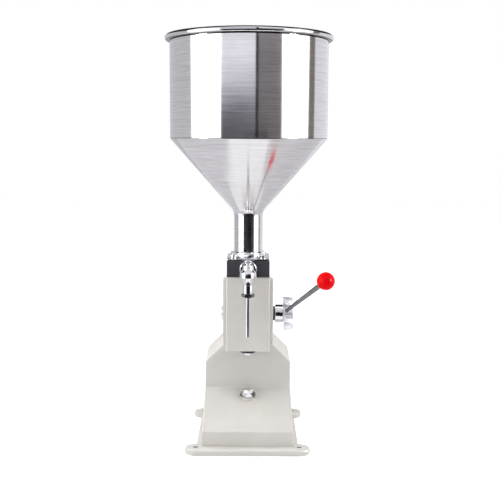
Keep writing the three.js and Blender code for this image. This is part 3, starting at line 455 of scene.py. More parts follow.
def steel_finish(
    name, colour_low, colour_high, roughness, grain_axis="Z", streaks=(4, 40, 2600), depth=0.00002, pull=0.0, metal=1.0, shade_and_seam_lines=(), mirror_above=None
):
    """Bright steel with grain that runs round the chosen axis and pulls its highlights across it."""
    material, tree, surface, where = new_finish(name)
    around = round_coordinates(tree, where, grain_axis)
    hair = noise(tree, stretched(tree, around, streaks), 1, 3, 0.6)
    cloud = noise(tree, where, 18, 2)
    colour = ramp_colour(tree, hair, colour_low, colour_high)
    height = add_node(tree, "ShaderNodeSeparateXYZ", {"Vector": where}).outputs["Z"]
    # Each band darkens the colour around one height: under the hopper's rolled bead this is painted shade standing in
    # for the shadow gap, at the cone's top it is the darker weld seam.
    for middle, half_width in shade_and_seam_lines:
        off = add_node(tree, "ShaderNodeMath", {0: height, 1: -middle * MM}, operation="ADD").outputs[0]
        off = add_node(tree, "ShaderNodeMath", {0: off}, operation="ABSOLUTE").outputs[0]
        share = ramp_value(tree, off, 0.05, 1, half_width * 0.5 * MM, half_width * MM)
        colour = add_node(tree, "ShaderNodeVectorMath", {0: colour, 3: share}, operation="SCALE").outputs[0]
    tree.links.new(colour, surface.inputs["Base Color"])
    surface.inputs["Metallic"].default_value = metal
    spread = add_node(tree, "ShaderNodeMath", {0: hair, 1: cloud}, operation="MULTIPLY").outputs[0]
    rough = ramp_value(tree, spread, *roughness, 0.1, 0.4)
    if mirror_above:
        share = ramp_value(tree, height, 1, 0.4, mirror_above * MM, (mirror_above + 1) * MM)
        rough = add_node(tree, "ShaderNodeMath", {0: rough, 1: share}, operation="MULTIPLY").outputs[0]
    tree.links.new(rough, surface.inputs["Roughness"])
    tree.links.new(bump(tree, hair, depth, 0.5), surface.inputs["Normal"])
    if pull:
        surface.inputs["Anisotropic"].default_value = pull
        surface.inputs["Anisotropic Rotation"].default_value = 0.25
        tangent = add_node(tree, "ShaderNodeTangent", direction_type="RADIAL", axis=grain_axis)
        tree.links.new(tangent.outputs[0], surface.inputs["Tangent"])
    return material


def plastic_finish(name, colour_low, colour_high, roughness, scale=700, depth=0.00004, index=1.45):
    material, tree, surface, where = new_finish(name)
    grain = noise(tree, where, scale, 3)
    cloud = noise(tree, where, 40, 2)
    tree.links.new(ramp_colour(tree, cloud, colour_low, colour_high), surface.inputs["Base Color"])
    tree.links.new(ramp_value(tree, grain, *roughness), surface.inputs["Roughness"])
    tree.links.new(bump(tree, grain, depth, 0.5), surface.inputs["Normal"])
    surface.inputs["IOR"].default_value = index
    return material


FINISHES = {
    "painted_casting": paint_finish(),
    "hopper_steel": steel_finish(
        "hopper_steel",
        (0.56, 0.55, 0.56),
        (0.78, 0.77, 0.78),
        (0.11, 0.17),
        streaks=(2, 20, 1500),
        depth=0.000012,
        pull=0.85,
        # At 690 mm: painted shade under the rolled bead; at the cone's top: the darker weld seam line.
        shade_and_seam_lines=((690, 1.5), (CONE_TOP + 0.6, 0.5)),
        mirror_above=HOPPER_TOP - 11,
    ),
    "polished_steel": steel_finish("polished_steel", (0.7, 0.7, 0.71), (0.8, 0.8, 0.81), (0.05, 0.09)),
    "dull_steel": steel_finish("dull_steel", (0.17, 0.174, 0.182), (0.25, 0.254, 0.267), (0.2, 0.3)),
    "black_steel": steel_finish("black_steel", (0.02, 0.02, 0.022), (0.04, 0.04, 0.043), (0.35, 0.5)),
    "bright_alloy": steel_finish(
        "bright_alloy", (0.76, 0.76, 0.82), (0.82, 0.82, 0.88), (0.26, 0.34), "X", depth=0.000005, metal=0.55
    ),
    "black_plastic": plastic_finish("black_plastic", (0.026, 0.023, 0.033), (0.038, 0.034, 0.046), (0.35, 0.5)),
    "white_plastic": plastic_finish("white_plastic", (0.72, 0.7, 0.65), (0.8, 0.78, 0.74), (0.35, 0.5)),
    "red_plastic": plastic_finish(
        "red_plastic", (0.72, 0.0012, 0.0035), (0.8, 0.0016, 0.005), (0.12, 0.16), 60, 0.000003, index=1.17
    ),
    "rubber": plastic_finish("rubber", (0.012, 0.012, 0.012), (0.02, 0.02, 0.02), (0.6, 0.8)),
}


# ---- pieces


def arc(centre_r, centre_h, radius, start, end, steps):
    """Points of an arc in a profile, angles in degrees from the radius axis."""
    points = []
    for i in range(steps + 1):
        angle = math.radians(start + (end - start) * i / steps)
        points.append((centre_r + radius * math.cos(angle), centre_h + radius * math.sin(angle)))
    return points


def bend(before, corner, after, size, steps=5):
    """Points of a soft bend in a profile where two straight runs meet."""
    corner = Vector(corner)
    first = corner + (Vector(before) - corner).normalized() * size
    last = corner + (Vector(after) - corner).normalized() * size
    points = []
    for i in range(steps + 1):
        t = i / steps
        points.append(tuple(first * (1 - t) ** 2 + corner * 2 * t * (1 - t) + last * t**2))
    return points


def make_hopper():
    bead_centre = (HOPPER_RADIUS - HOPPER_WALL + BEAD_RADIUS, HOPPER_TOP - BEAD_RADIUS)
    start = -math.degrees(math.acos((HOPPER_RADIUS - bead_centre[0]) / BEAD_RADIUS))
    lean = math.atan2(CONE_TOP - CONE_BOTTOM, HOPPER_RADIUS - NECK_RADIUS)
    rise = HOPPER_WALL * (1 - math.sin(lean)) / math.cos(lean)
    neck, neck_foot = (NECK_RADIUS, CONE_BOTTOM), (NECK_RADIUS, FLANGE_TOP)
    seam, seam_top = (HOPPER_RADIUS, CONE_TOP), (HOPPER_RADIUS, HOPPER_TOP - 20)
    inner_neck = (NECK_RADIUS - HOPPER_WALL, CONE_BOTTOM + rise)
    inner_seam = (HOPPER_RADIUS - HOPPER_WALL, CONE_TOP + rise)
    profile = [
        neck_foot,
        *bend(neck_foot, neck, seam, NECK_BLEND),
        *bend(neck, seam, seam_top, SEAM_SOFTNESS),
        *arc(*bead_centre, BEAD_RADIUS, start, 180, BEAD_STEPS),
        *bend((inner_seam[0], HOPPER_TOP), inner_seam, inner_neck, SEAM_SOFTNESS),
        *bend(inner_seam, inner_neck, (inner_neck[0], FLANGE_TOP), NECK_BLEND),
        (inner_neck[0], FLANGE_TOP),
        neck_foot,
    ]
    stand_for(turned("hopper", profile, steps=LARGE_STEPS), "hopper")


def make_flange():
    outline = rounded(
        -BLOCK_HALF_WIDTH, -FLANGE_HALF_DEPTH, BLOCK_HALF_WIDTH, FLANGE_HALF_DEPTH, (1.5,) * 4
    )
    plate = prism("flange", outline, "Z", BLOCK_TOP, FLANGE_TOP)
    holes = [
        bar("hole", BOLT_RADIUS + 0.3, BLOCK_TOP - OVERRUN, FLANGE_TOP + OVERRUN, centre=(x, y, 0), steps=24)
        for x, y in bolt_places()
    ]
    throat = bar("throat", THROAT_RADIUS, BLOCK_TOP - OVERRUN, FLANGE_TOP + OVERRUN)
    soften(carve(plate, throat, *holes), 0.4)
    top = FLANGE_TOP + COLLAR_HEIGHT
    collar = turned(
        "collar",
        [
            (NECK_RADIUS + 0.3, FLANGE_TOP - 1),
            (COLLAR_RADIUS, FLANGE_TOP - 1),
            *arc(COLLAR_RADIUS + 0.8, FLANGE_TOP + 0.8, 0.8, 270, 180, 3),
            (COLLAR_RADIUS, top - 1.8),
            (COLLAR_RADIUS - 0.4, top - 1.2),
            (COLLAR_RADIUS - 1.4, top - 0.1),
            (NECK_RADIUS + 0.3, top),
            (NECK_RADIUS + 0.3, FLANGE_TOP - 1),
        ],
    )
    stand_for(weld(plate, collar), "neck_flange")


def bolt_places():
    return [(sx * BOLT_PITCH, sy * BOLT_PITCH) for sy in (-1, 1) for sx in (1, -1)]


def hexagon(name, flats, low, high, corner_angle=0.0, low_chamfer=True, high_chamfer=True):
    """A hexagon bar along Z with its corners cut back, as on a nut or a bolt's head."""
    corner = flats / math.sqrt(3)
    angles = [corner_angle + math.pi / 3 * i for i in range(6)]
    piece = prism(name, [(corner * math.cos(a), corner * math.sin(a)) for a in angles], "Z", low, high)
    cut = (corner - flats / 2 * 0.97) * math.tan(math.radians(30))
    envelope = turned(
        "envelope",
        [
            (0, low),
            (flats / 2 * 0.97 if low_chamfer else corner * 1.01, low),
            (corner * 1.01, low + cut if low_chamfer else low),
            (corner * 1.01, high - cut if high_chamfer else high),
            (flats / 2 * 0.97 if high_chamfer else corner * 1.01, high),
            (0, high),
        ],
        steps=96,
    )
    return shared(piece, envelope)


def make_flange_bolts():
    seat = FLANGE_TOP + WASHER_THICKNESS
    for index, (x, y) in enumerate(bolt_places(), 1):
        washer = ring("washer", WASHER_RADIUS, BOLT_RADIUS + 0.3, FLANGE_TOP, seat, centre=(x, y, 0))
        stand_for(washer, f"flange_washer_{index}")
        head = hexagon("bolt", BOLT_HEAD_FLATS, seat, seat + BOLT_HEAD_HEIGHT, math.pi / 6 + index * 0.4, False)
        shank = bar("shank", BOLT_RADIUS, HEAD_TOP - 6, seat + 0.5, chamfer=0.4, steps=32)
        stand_for(shift(soften(weld(head, shank), 0.15, 1), x, y), f"flange_bolt_{index}")


def make_block():
    outline = rounded(
        -BLOCK_HALF_WIDTH, -BLOCK_HALF_DEPTH, BLOCK_HALF_WIDTH, BLOCK_HALF_DEPTH, (0,) * 4
    )
    block = prism("block", outline, "Z", BLOCK_BOTTOM, BLOCK_TOP)
    soften(block, 0.7)
    holes = [
        bar("hole", BOLT_RADIUS + 0.3, BLOCK_BOTTOM - OVERRUN, BLOCK_TOP + OVERRUN, centre=(x, y, 0), steps=24)
        for x, y in bolt_places()
    ]
    cutters = [
        bar("inlet", INLET_RADIUS, 314.6, BLOCK_TOP + OVERRUN),
        bar("chamber", 15, BLOCK_BOTTOM - OVERRUN, 314.6),
        bar("cage", 19.3, BLOCK_BOTTOM - OVERRUN, 296),
        ring("groove", 24.3, 20.7, 320.1, BLOCK_TOP + OVERRUN, chamfer=0.01),
        bar("port", 4, -BLOCK_HALF_DEPTH - OVERRUN, 0, "Y", (0, 0, PORT_HEIGHT)),
        bar("spigot", 8.3, -BLOCK_HALF_DEPTH - OVERRUN, -29.7, "Y", (0, 0, PORT_HEIGHT)),
    ]
    stand_for(carve(block, *cutters, *holes), "valve_block")


def make_head():
    outline = rounded(
        -HEAD_HALF_WIDTH, HEAD_FRONT, HEAD_HALF_WIDTH, HEAD_REAR, (HEAD_CORNER, HEAD_CORNER, 0.01, 0.01), 8
    )
    shell = prism("head", outline, "Z", HEAD_BOTTOM, HEAD_TOP)
    soften(shell, 1.2, 3)
    pads = box(
        "pads",
        (-PAD_HALF_WIDTH, SHAFT_Y - PAD_HALF_DEPTH, PAD_BOTTOM),
        (PAD_HALF_WIDTH, SHAFT_Y + PAD_HALF_DEPTH, PAD_TOP),
    )
    weld(shell, soften(pads, 1.6, 3))
    inner = HEAD_HALF_WIDTH - HEAD_WALL
    room = box(
        "room",
        (-inner, HEAD_FRONT + HEAD_WALL, HEAD_BOTTOM + HEAD_FLOOR),
        (inner, HEAD_REAR + OVERRUN, HEAD_TOP - HEAD_FLOOR),
    )
    carve(shell, room)
    posts = []
    for side in (-1, 1):
        for low in (HEAD_BOTTOM + HEAD_FLOOR, HEAD_TOP - HEAD_FLOOR - 10):
            near, far = sorted((side * (inner - 10), side * (inner + 0.5)))
            posts.append(box("post", (near, HEAD_REAR - 20, low - 0.5), (far, HEAD_REAR, low + 10.5)))
    weld(shell, *posts)
    cutters = [
        bar("barrel", 29.3, HEAD_TOP - 12, HEAD_TOP + OVERRUN),
        bar("barrel_seat", 31.3, HEAD_TOP - 4, HEAD_TOP + OVERRUN),
        bar("guide", 11.3, HEAD_BOTTOM - OVERRUN, HEAD_BOTTOM + HEAD_FLOOR + OVERRUN),
        bar("shaft", 10.3, -50, 50, "X", (0, SHAFT_Y, SHAFT_HEIGHT)),
    ]
    for x, z in cover_screw_places():
        cutters.append(bar("hole", 2.3, HEAD_REAR - 19, HEAD_REAR + OVERRUN, "Y", (x, 0, z), steps=24))
    for x, y in HEAD_BOLTS:
        cutters.append(
            bar("hole", 4.3, HEAD_BOTTOM - OVERRUN, HEAD_BOTTOM + HEAD_FLOOR + OVERRUN, centre=(x, y, 0), steps=24)
        )
    for x, y in bolt_places():
        cutters.append(bar("hole", 3.3, HEAD_TOP - 12, HEAD_TOP + OVERRUN, centre=(x, y, 0), steps=24))
    stand_for(carve(shell, *cutters), "head_housing")


def cover_screw_places():
    x = HEAD_HALF_WIDTH - COVER_SCREW_EDGE
    heights = (HEAD_BOTTOM + COVER_SCREW_EDGE, HEAD_TOP - COVER_SCREW_EDGE)
    return [(sx * x, z) for z in heights for sx in (1, -1)]


def make_cover():
    half = HEAD_HALF_WIDTH - COVER_INSET
    outline = rounded(-half, HEAD_BOTTOM + COVER_INSET, half, HEAD_TOP - COVER_INSET, (3,) * 4)
    plate = prism("cover", outline, "Y", HEAD_REAR, HEAD_REAR + COVER_THICKNESS)
    soften(plate, 0.5)
    holes = [
        bar("hole", 2.3, HEAD_REAR - OVERRUN, HEAD_REAR + COVER_THICKNESS + OVERRUN, "Y", (x, 0, z), steps=24)
        for x, z in cover_screw_places()
    ]
    stand_for(carve(plate, *holes), "rear_cover")
    face = HEAD_REAR + COVER_THICKNESS
    for index, (x, z) in enumerate(cover_screw_places(), 1):
        profile = [
            (0, face - 18.6),
            (1.4, face - 18.6),
            (2, face - 18),
            (2, face),
            (4.3, face),
            (4.4, face + 0.6),
            (3.9, face + 1.7),
            (2.6, face + 2.5),
            (0, face + 2.75),
        ]
        screw = turned("screw", profile, "Y", (x, 0, z), 40)
        turn = 0.3 + index * 0.7
        slots = []
        for quarter in (0, math.pi / 2):
            slot = box("slot", (-2.2, -0.35, 1), (2.2, 0.35, 4))
            move(slot, Matrix.Rotation(turn + quarter, 4, "Z"))
            move(slot, Matrix.Rotation(-math.pi / 2, 4, "X"))
            slots.append(shift(slot, x, face + 0.2, z))
        stand_for(carve(screw, *slots), f"rear_cover_screw_{index}")


def base_outlines(wall):
    """The body's outlines from the side and from the front, drawn in by a wall for the hollow."""
    rise = (SLOPE_REAR[1] - SLOPE_FRONT[1]) / (SLOPE_REAR[0] - SLOPE_FRONT[0])
    drop = wall * math.hypot(1, rise)
    low = -OVERRUN if wall else 0
    top = BASE_TOP - (BASE_TOP_WALL if wall else 0)
    side = [
        (FRONT_FOOT + wall, low),
        (SLOPE_FRONT[0] + wall, SLOPE_FRONT[1] + wall * rise - drop),
        (SLOPE_REAR[0] + wall, SLOPE_REAR[1] + wall * rise - drop),
        (SLOPE_REAR[0] + wall, top),
        (BODY_REAR - wall, top),
        (BODY_REAR - wall, low),
    ]
    shoulder = wall * math.tan(math.pi / 8)
    foot, corner, _ = FACE_RIGHT
    face = [
        (foot[0] - wall, low),
        (corner[0] - wall, corner[1] - shoulder),
        (corner[0] - wall - (top - corner[1] + shoulder), top),
    ]
    face += [(-x, z) for x, z in reversed(face)]
    return side, face


def foot_outline():
    """The foot plate from above: straight edges that run into the round ears."""
    right = []
    for x, y in (EARS[0], EARS[2]):
        reach = math.degrees(math.acos((PLATE_HALF_WIDTH - x) / EAR_RADIUS))
        right += arc(x, y, EAR_RADIUS, *((-90, reach) if y < 0 else (-reach, 90)), 36)
    return right + [(-x, y) for x, y in reversed(right)]


def make_base():
    side, face = base_outlines(0)
    body = shared(
        prism("base", side, "X", -PLATE_HALF_WIDTH, PLATE_HALF_WIDTH),
        prism("face", face, "Y", PLATE_FRONT, PLATE_REAR),
    )
    soften(body, BODY_SOFTNESS, 3)
    spot = turned(
        "spot",
        [(0, STOP_SEAT), (STOP_SEAT_RADIUS - 0.8, STOP_SEAT), (STOP_SEAT_RADIUS, STOP_SEAT + 0.8), (STOP_SEAT_RADIUS, 150), (0, 150)],
    )
    carve(body, spot)
    deck = soften(prism("deck", foot_outline(), "Z", 0, PLATE_THICKNESS), FOOT_SOFTNESS, 3)
    weld(deck, body)
    side, face = base_outlines(BASE_WALL)
    hollow = shared(
        prism("hollow", side, "X", -PLATE_HALF_WIDTH, PLATE_HALF_WIDTH),
        prism("face", face, "Y", PLATE_FRONT, PLATE_REAR),
    )
    cutters = [hollow]
    for x, y in EARS:
        cutters.append(bar("hole", FOOT_HOLE_RADIUS, -OVERRUN, PLATE_THICKNESS + OVERRUN, centre=(x, y, 0), steps=32))
    for x, y in HEAD_BOLTS:
        cutters.append(bar("hole", 4.3, BASE_TOP - 12, BASE_TOP + OVERRUN, centre=(x, y, 0), steps=24))
    carve(deck, *cutters)
    boss = bar("boss", STOP_SEAT_RADIUS, STOP_BOSS_BOTTOM, STOP_SEAT, chamfer=0)
    weld(deck, boss)
    carve(deck, bar("bolt_hole", 5.3, STOP_BOSS_BOTTOM - OVERRUN, STOP_SEAT + OVERRUN))
    stand_for(deck, "base_casting")


def make_stop():
    nut = hexagon("nut", 17, STOP_SEAT, STOP_SEAT + 8, 0.2)
    stand_for(carve(nut, bar("hole", 5.15, STOP_SEAT - OVERRUN, STOP_SEAT + 12)), "stop_lock_nut")
    seat = STOP_SEAT + 8.3
    head = hexagon("stop", 17, seat, seat + 6.4, 0.2 + math.pi / 6, False)
    weld(head, threaded("thread", 5, seat - 60, seat + 0.5, 1.5))
    stand_for(head, "stop_bolt", 25)


def threaded(name, radius, low, high, pitch):
    """A bar with a fine ridge for each turn of its thread and a chamfered end."""
    depth = pitch * 0.5
    profile = [(0, low), (radius - depth - 0.4, low), (radius - depth, low + 0.6)]
    height = low + 0.6
    while height + pitch < high - 1:
        profile += [(radius - depth, height + pitch * 0.1), (radius, height + pitch * 0.55), (radius, height + pitch * 0.65)]
        height += pitch
    profile += [(radius - depth, height + pitch * 0.1), (radius - depth, high), (0, high)]
    return turned(name, profile, steps=40)


def make_head_bolts():
    seat = BASE_TOP - BASE_TOP_WALL
    for index, (x, y) in enumerate(HEAD_BOLTS, 1):
        head = turned(
            "bolt",
            [(0, seat - 8), (6, seat - 8), (6.5, seat - 7.5), (6.5, seat), (4, seat), (4, seat + 14), (3.6, seat + 14.5), (0, seat + 14.5)],
            steps=40,
        )
        socket = prism(
            "socket",
            [(3.46 * math.cos(math.pi / 3 * i + index), 3.46 * math.sin(math.pi / 3 * i + index)) for i in range(6)],
            "Z",
            seat - 9,
            seat - 4,
        )
        stand_for(shift(carve(head, socket), x, y), f"head_bolt_{index}")


def make_rod():
    rod = turned(
        "rod",
        [(0, 149), (6.6, 149), (7.4, 149.4), (7.8, 150.2), (7.8, 258), (5, 258), (5, 265.6), (4.6, 266), (0, 266)],
    )
    pitch = math.pi * 1.5
    centre = SHAFT_HEIGHT
    root, tip = -3.625, -7
    half_tip, half_root = pitch / 4 - 0.15 - 0.546, pitch / 4 - 0.15 + 0.682
    teeth = []
    for i in range(-5, 5):
        z = centre + i * pitch
        teeth += [(root, z - half_root), (tip, z - half_tip), (tip, z + half_tip), (root, z + half_root)]
    outline = [(-11, centre - 6 * pitch), (root, centre - 5.5 * pitch), *teeth]
    outline += [(root, centre + 4.5 * pitch), (-11, centre + 5 * pitch)]
    stand_for(carve(rod, prism("rack", outline, "X", -11, 11)), "rack_rod")
    guide = turned(
        "guide",
        [
            (8.1, 154.3),
            (8.4, 154),
            (12.6, 154),
            *arc(12.6, 155.2, 1.2, 270, 360, 4),
            (13.8, 167),
            (11, 167),
            (11, 176.6),
            (10.6, 177),
            (8.1, 177),
            (8.1, 154.3),
        ],
    )
    stand_for(guide, "rod_guide")


def on_shaft(name, profile, node):
    piece = turned(name, profile, "X", (0, SHAFT_Y, SHAFT_HEIGHT))
    return stand_for(piece, node)


def make_shaft_ends():
    cap = [
        (7.3, -44.3),
        (0, -44.3),
        (0, -46.7),
        (10.8, -46.7),
        (11.6, -46.4),
        (12, -45.7),
        (12, -43.3),
        (10, -43.3),
        (10, -33.3),
        (7.3, -33.3),
        (7.3, -44.3),
    ]
    on_shaft("cap", cap, "left_bearing_cap")
    bush = [
        (7.3, 33.3),
        (10, 33.3),
        (10, 43.3),
        (12, 43.3),
        (12.4, 43.7),
        (12.4, 45.9),
        (12, 46.3),
        (7.3, 46.3),
        (7.3, 33.3),
    ]
    on_shaft("bush", bush, "right_bush")


def screw_matrix():
    turn = Matrix.Rotation(math.pi / 2 - math.pi * 0.04, 4, "X")
    return Matrix.Translation(Vector((46.6 + 14.2 * 0.42, SHAFT_Y, SHAFT_HEIGHT)) * MM) @ turn


def make_collar():
    profile = [
        (7.3, 47),
        (7.7, 46.6),
        (14.8, 46.6),
        (15.6, 47.4),
        (15.6, 59.7),
        (14.8, 60.5),
        (7.7, 60.5),
        (7.3, 60.1),
        (7.3, 47),
    ]
    collar = turned("collar", profile, "X", (0, SHAFT_Y, SHAFT_HEIGHT))
    hole = move(turned("hole", [(0, 0), (3.3, 0), (3.3, 15), (4.2, 16), (4.2, 20), (0, 20)], steps=32), screw_matrix())
    stand_for(carve(collar, hole), "shaft_collar", finish="polished_steel")
    screw = turned("screw", [(0, 7.2), (2.6, 7.2), (3, 7.6), (3, 14.8), (2.6, 15.2), (0, 15.2)], steps=32)
    socket = prism(
        "socket", [(1.73 * math.cos(math.pi / 3 * i), 1.73 * math.sin(math.pi / 3 * i)) for i in range(6)], "Z", 12.7, 18
    )
    stand_for(move(carve(screw, socket), screw_matrix()), "collar_set_screw")


def lever_matrix():
    """Carries a piece built along +Z into the lever's direction, from its foot on the shaft's axis."""
    return (
        Matrix.Translation(Vector((LEVER_ORIGIN, SHAFT_Y, SHAFT_HEIGHT)) * MM)
        @ Matrix.Rotation(math.pi / 2 - LEVER_ANGLE, 4, "X")
        @ Matrix.Rotation(LEVER_LEAN, 4, "Y")
    )


def make_hub():
    start, end = 60.8, 78
    core = bar("hub", 10.4, start, end, "X", chamfer=0.6)
    for side in (-1, 1):
        lobe = turned(
            "lobe",
            [(0, start), (13, start), (13.5, start + 0.5), (11.9, end - 1.2), (10.7, end), (0, end)],
            "X",
            (0, side * 18.4, 0),
        )
        weld(core, lobe)
    soften(core, 0.7, 3, 40)
    move(core, Matrix.Rotation(math.pi / 2 - LEVER_ANGLE, 4, "X"))
    shift(core, 0, SHAFT_Y, SHAFT_HEIGHT)
    cutters = [
        bar("bore", 7.3, start - OVERRUN, end + OVERRUN, "X", (0, SHAFT_Y, SHAFT_HEIGHT)),
        bar("recess", 8.6, 72, end + OVERRUN, "X", (0, SHAFT_Y, SHAFT_HEIGHT)),
        move(bar("socket", 3.8, LEVER_TIP - 0.3, 90), lever_matrix()),
    ]
    stand_for(carve(core, *cutters), "lever_hub", 40)
    washer = ring("washer", 8.2, 2.8, 72, 73.2, "X", (0, SHAFT_Y, SHAFT_HEIGHT), 0.2)
    stand_for(washer, "hub_washer")
    screw = turned(
        "screw",
        [(0, 59.4), (2.2, 59.4), (2.5, 59.8), (2.5, 73.2), (4.2, 73.2), (4.2, 76.9), (3.8, 77.2), (0, 77.2)],
        "X",
        (0, SHAFT_Y, SHAFT_HEIGHT),
        40,
    )
    corners = [(2.3 * math.cos(math.pi / 3 * i), 2.3 * math.sin(math.pi / 3 * i)) for i in range(6)]
    socket = prism("socket", [(SHAFT_Y + u, SHAFT_HEIGHT + v) for u, v in corners], "X", 74.8, 80)
    stand_for(carve(screw, socket), "hub_screw")


def make_lever():
    end = LEVER_LENGTH - BALL_RADIUS + 11
    profile = [
        (0, LEVER_TIP),
        (3.2, LEVER_TIP),
        (3.5, LEVER_TIP + 0.4),
        (3.6, LEVER_TIP + 14),
        (4.3, end - 16),
        (4.3, end - 0.4),
        (3.9, end),
        (0, end),
    ]
    stand_for(move(turned("rod", profile), lever_matrix()), "lever_rod")
    flat = 6.4
    start = math.degrees(math.asin(-math.sqrt(BALL_RADIUS**2 - flat**2) / BALL_RADIUS))
    ball = turned(
        "ball",
        [
            (4.6, LEVER_LENGTH + 11 - BALL_RADIUS + 0.3),
            (4.6, LEVER_LENGTH - math.sqrt(BALL_RADIUS**2 - flat**2)),
            *arc(0, LEVER_LENGTH, BALL_RADIUS, start, 90, 30),
        ],
        steps=72,
    )
    alone(ball)
    bpy.ops.object.mode_set(mode="EDIT")
    bpy.ops.mesh.select_all(action="DESELECT")
    bpy.ops.mesh.select_non_manifold()
    bpy.ops.mesh.edge_face_add()
    end_shape()
    stand_for(move(ball, lever_matrix()), "ball_knob", 60)


def make_nozzle():
    y = NOZZLE_Y
    bell = turned(
        "elbow",
        [
            (0, 287.4),
            (8.6, 287.4),
            (8.6, 288.6),
            (11.6, 299.6),
            (13.7, 299.6),
            (14.3, 300.2),
            (14.1, 306.6),
            (13.6, 308.2),
            (10.2, 312),
            (9.3, 313.2),
            (8.9, 318.2),
            (7.8, 320.8),
            (5.8, 322.5),
            (3.4, 323.3),
            (0, 323.5),
        ],
        centre=(0, y, 0),
    )
    tube = bar("tube", 8, y, -49.5, "Y", (0, 0, PORT_HEIGHT))
    shoulder = bar("shoulder", 10, -52.9, -49.5, "Y", (0, 0, PORT_HEIGHT), 0.3)
    weld(bell, tube, shoulder)
    soften(bell, 0.5, 3, 50)
    cutters = [
        bar("bore", 4, y, -45, "Y", (0, 0, PORT_HEIGHT)),
        bar("drop", 4, 287, PORT_HEIGHT, centre=(0, y, 0)),
        bar("valve", 6, 280, 302, centre=(0, y, 0)),
    ]
    stand_for(carve(bell, *cutters), "nozzle_elbow")
    nut = hexagon("union", 28.2, 41, 57, math.pi / 2, True, True)
    shared(nut, bar("round", 14.5, 41, 57, chamfer=1.2))
    move(nut, Matrix.Rotation(math.pi / 2, 4, "X"))
    shift(nut, 0, 0, PORT_HEIGHT)
    soften(nut, 0.4, 2, 20)
    cutters = [
        bar("pocket", 10.3, -53.3, -38, "Y", (0, 0, PORT_HEIGHT)),
        bar("lip", 8.3, -60, -50, "Y", (0, 0, PORT_HEIGHT)),
    ]
    stand_for(carve(nut, *cutters), "union_nut")
    spigot = turned(
        "spigot",
        [(4, -48), (9.6, -48), (10, -47.6), (10, -40), (8, -40), (8, -30.4), (7.6, -30), (4, -30), (4, -48)],
        "Y",
        (0, 0, PORT_HEIGHT),
    )
    stand_for(spigot, "nozzle_spigot")
    tube = turned(
        "tube",
        [(3.2, 270), (8.2, 270), (8.6, 270.4), (8.6, 287), (8.2, 287.4), (5.7, 287.4), (5.7, 290.4), (3.2, 290.4), (3.2, 270)],
        centre=(0, y, 0),
    )
    stand_for(tube, "outlet_tube")
    tip = hexagon("tip", 19.4, 266.9, 272.6, 0, True, True)
    skirt = turned("skirt", [(0, 265), (5.2, 265), (9.4, 267), (9.4, 268), (0, 268)])
    weld(tip, skirt)
    shift(tip, 0, y, 0)
    cutters = [
        bar("pocket", 8.9, 268.5, 275, centre=(0, y, 0)),
        bar("bore", 3.7, 260, 275, centre=(0, y, 0)),
    ]
    stand_for(carve(tip, *cutters), "tip_nut", finish="dull_steel")
    needle = turned(
        "needle",
        [(2.6, 198.9), (2.9, 198.6), (3.1, 198.6), (3.4, 198.9), (3.4, 268.5), (8.6, 268.5), (8.6, 270), (2.6, 270), (2.6, 198.9)],
        centre=(0, y, 0),
        steps=40,
    )
    stand_for(needle, "needle")


def make_valves():
    seat = turned(
        "seat",
        [(5, 314.6), (15.7, 314.6), (15.7, 319.6), (10.4, 319.6), (5.4, 317.4), (5, 316.8), (5, 314.6)],
    )
    stand_for(seat, "inlet_seat")


def make_springs():
    """Coil springs under the two valve balls, each wound to fill its spring node's box."""
    springs = (
        ("inlet_spring", "inlet_valve_open", 0, 1.0, 4, 4.0),
        ("outlet_spring", "outlet_valve_open", NOZZLE_Y, 0.8, 4, 2.5),
    )
    for node, joint, y, wire, turns, travel in springs:
        low, high = (Vector(corner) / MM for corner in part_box(node))
        length = high.z - low.z
        middle = (high.x - low.x - wire) / 2
        angles = [FULL_TURN * i / 10 for i in range(11)]
        section = [
            (middle + wire / 2 * math.cos(a), 0, low.z + wire / 2 + wire / 2 * math.sin(a)) for a in angles
        ]
        piece = start_chain(node, section)
        end_shape()
        screw = piece.modifiers.new("coil", "SCREW")
        screw.axis = "Z"
        screw.angle = FULL_TURN
        screw.iterations = turns
        screw.steps = screw.render_steps = 28
        screw.screw_offset = (length - wire) / turns * MM
        apply_last(piece)
        alone(piece)
        bpy.ops.object.mode_set(mode="EDIT")
        bpy.ops.mesh.select_all(action="SELECT")
        bpy.ops.mesh.fill_holes(sides=0)
        end_shape()
        stand_for(shift(piece, 0, y, 0), node, 60)
        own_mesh(piece)


def finish_frame_nodes():
    """The nodes that stay as they are take the finish of their slot."""
    shown = {piece.name for piece in bpy.data.objects}
    for node, piece in frame["nodes"].items():
        if f"look_{node}" in shown:
            continue
        piece.data.materials.clear()
        piece.data.materials.append(FINISHES[NODE_SLOT[node]])


make_hopper()
make_flange()
make_flange_bolts()
make_block()
make_head()
make_cover()
make_base()
make_stop()
make_head_bolts()
make_rod()
make_shaft_ends()
make_collar()
make_hub()
make_lever()
make_nozzle()
make_valves()
make_springs()
finish_frame_nodes()


# ---- studio

CARD_HEIGHT = 2.2
GLOW = 100


def glow_by_height(name, stops):
    """A glowing surface whose colour changes with its height, given as (metres, colour) stops."""
    material = bpy.data.materials.new(name)
    material.use_nodes = True
    tree = material.node_tree
    tree.nodes.clear()
    where = add_node(tree, "ShaderNodeTexCoord").outputs["Object"]
    height = add_node(tree, "ShaderNodeSeparateXYZ", {"Vector": where}).outputs["Z"]
    share = ramp_value(tree, height, 0, 1, 0, CARD_HEIGHT)
    ramp = add_node(tree, "ShaderNodeValToRGB", {"Fac": share})
    while len(ramp.color_ramp.elements) < len(stops):
        ramp.color_ramp.elements.new(0.5)
    for element, (metres, colour) in zip(ramp.color_ramp.elements, stops):
        element.position = metres / CARD_HEIGHT
        element.color = (*(part / GLOW for part in colour), 1)
    light = add_node(tree, "ShaderNodeEmission", {"Color": ramp.outputs["Color"], "Strength": GLOW})
    output = add_node(tree, "ShaderNodeOutputMaterial")
    tree.links.new(light.outputs[0], output.inputs["Surface"])
    return material


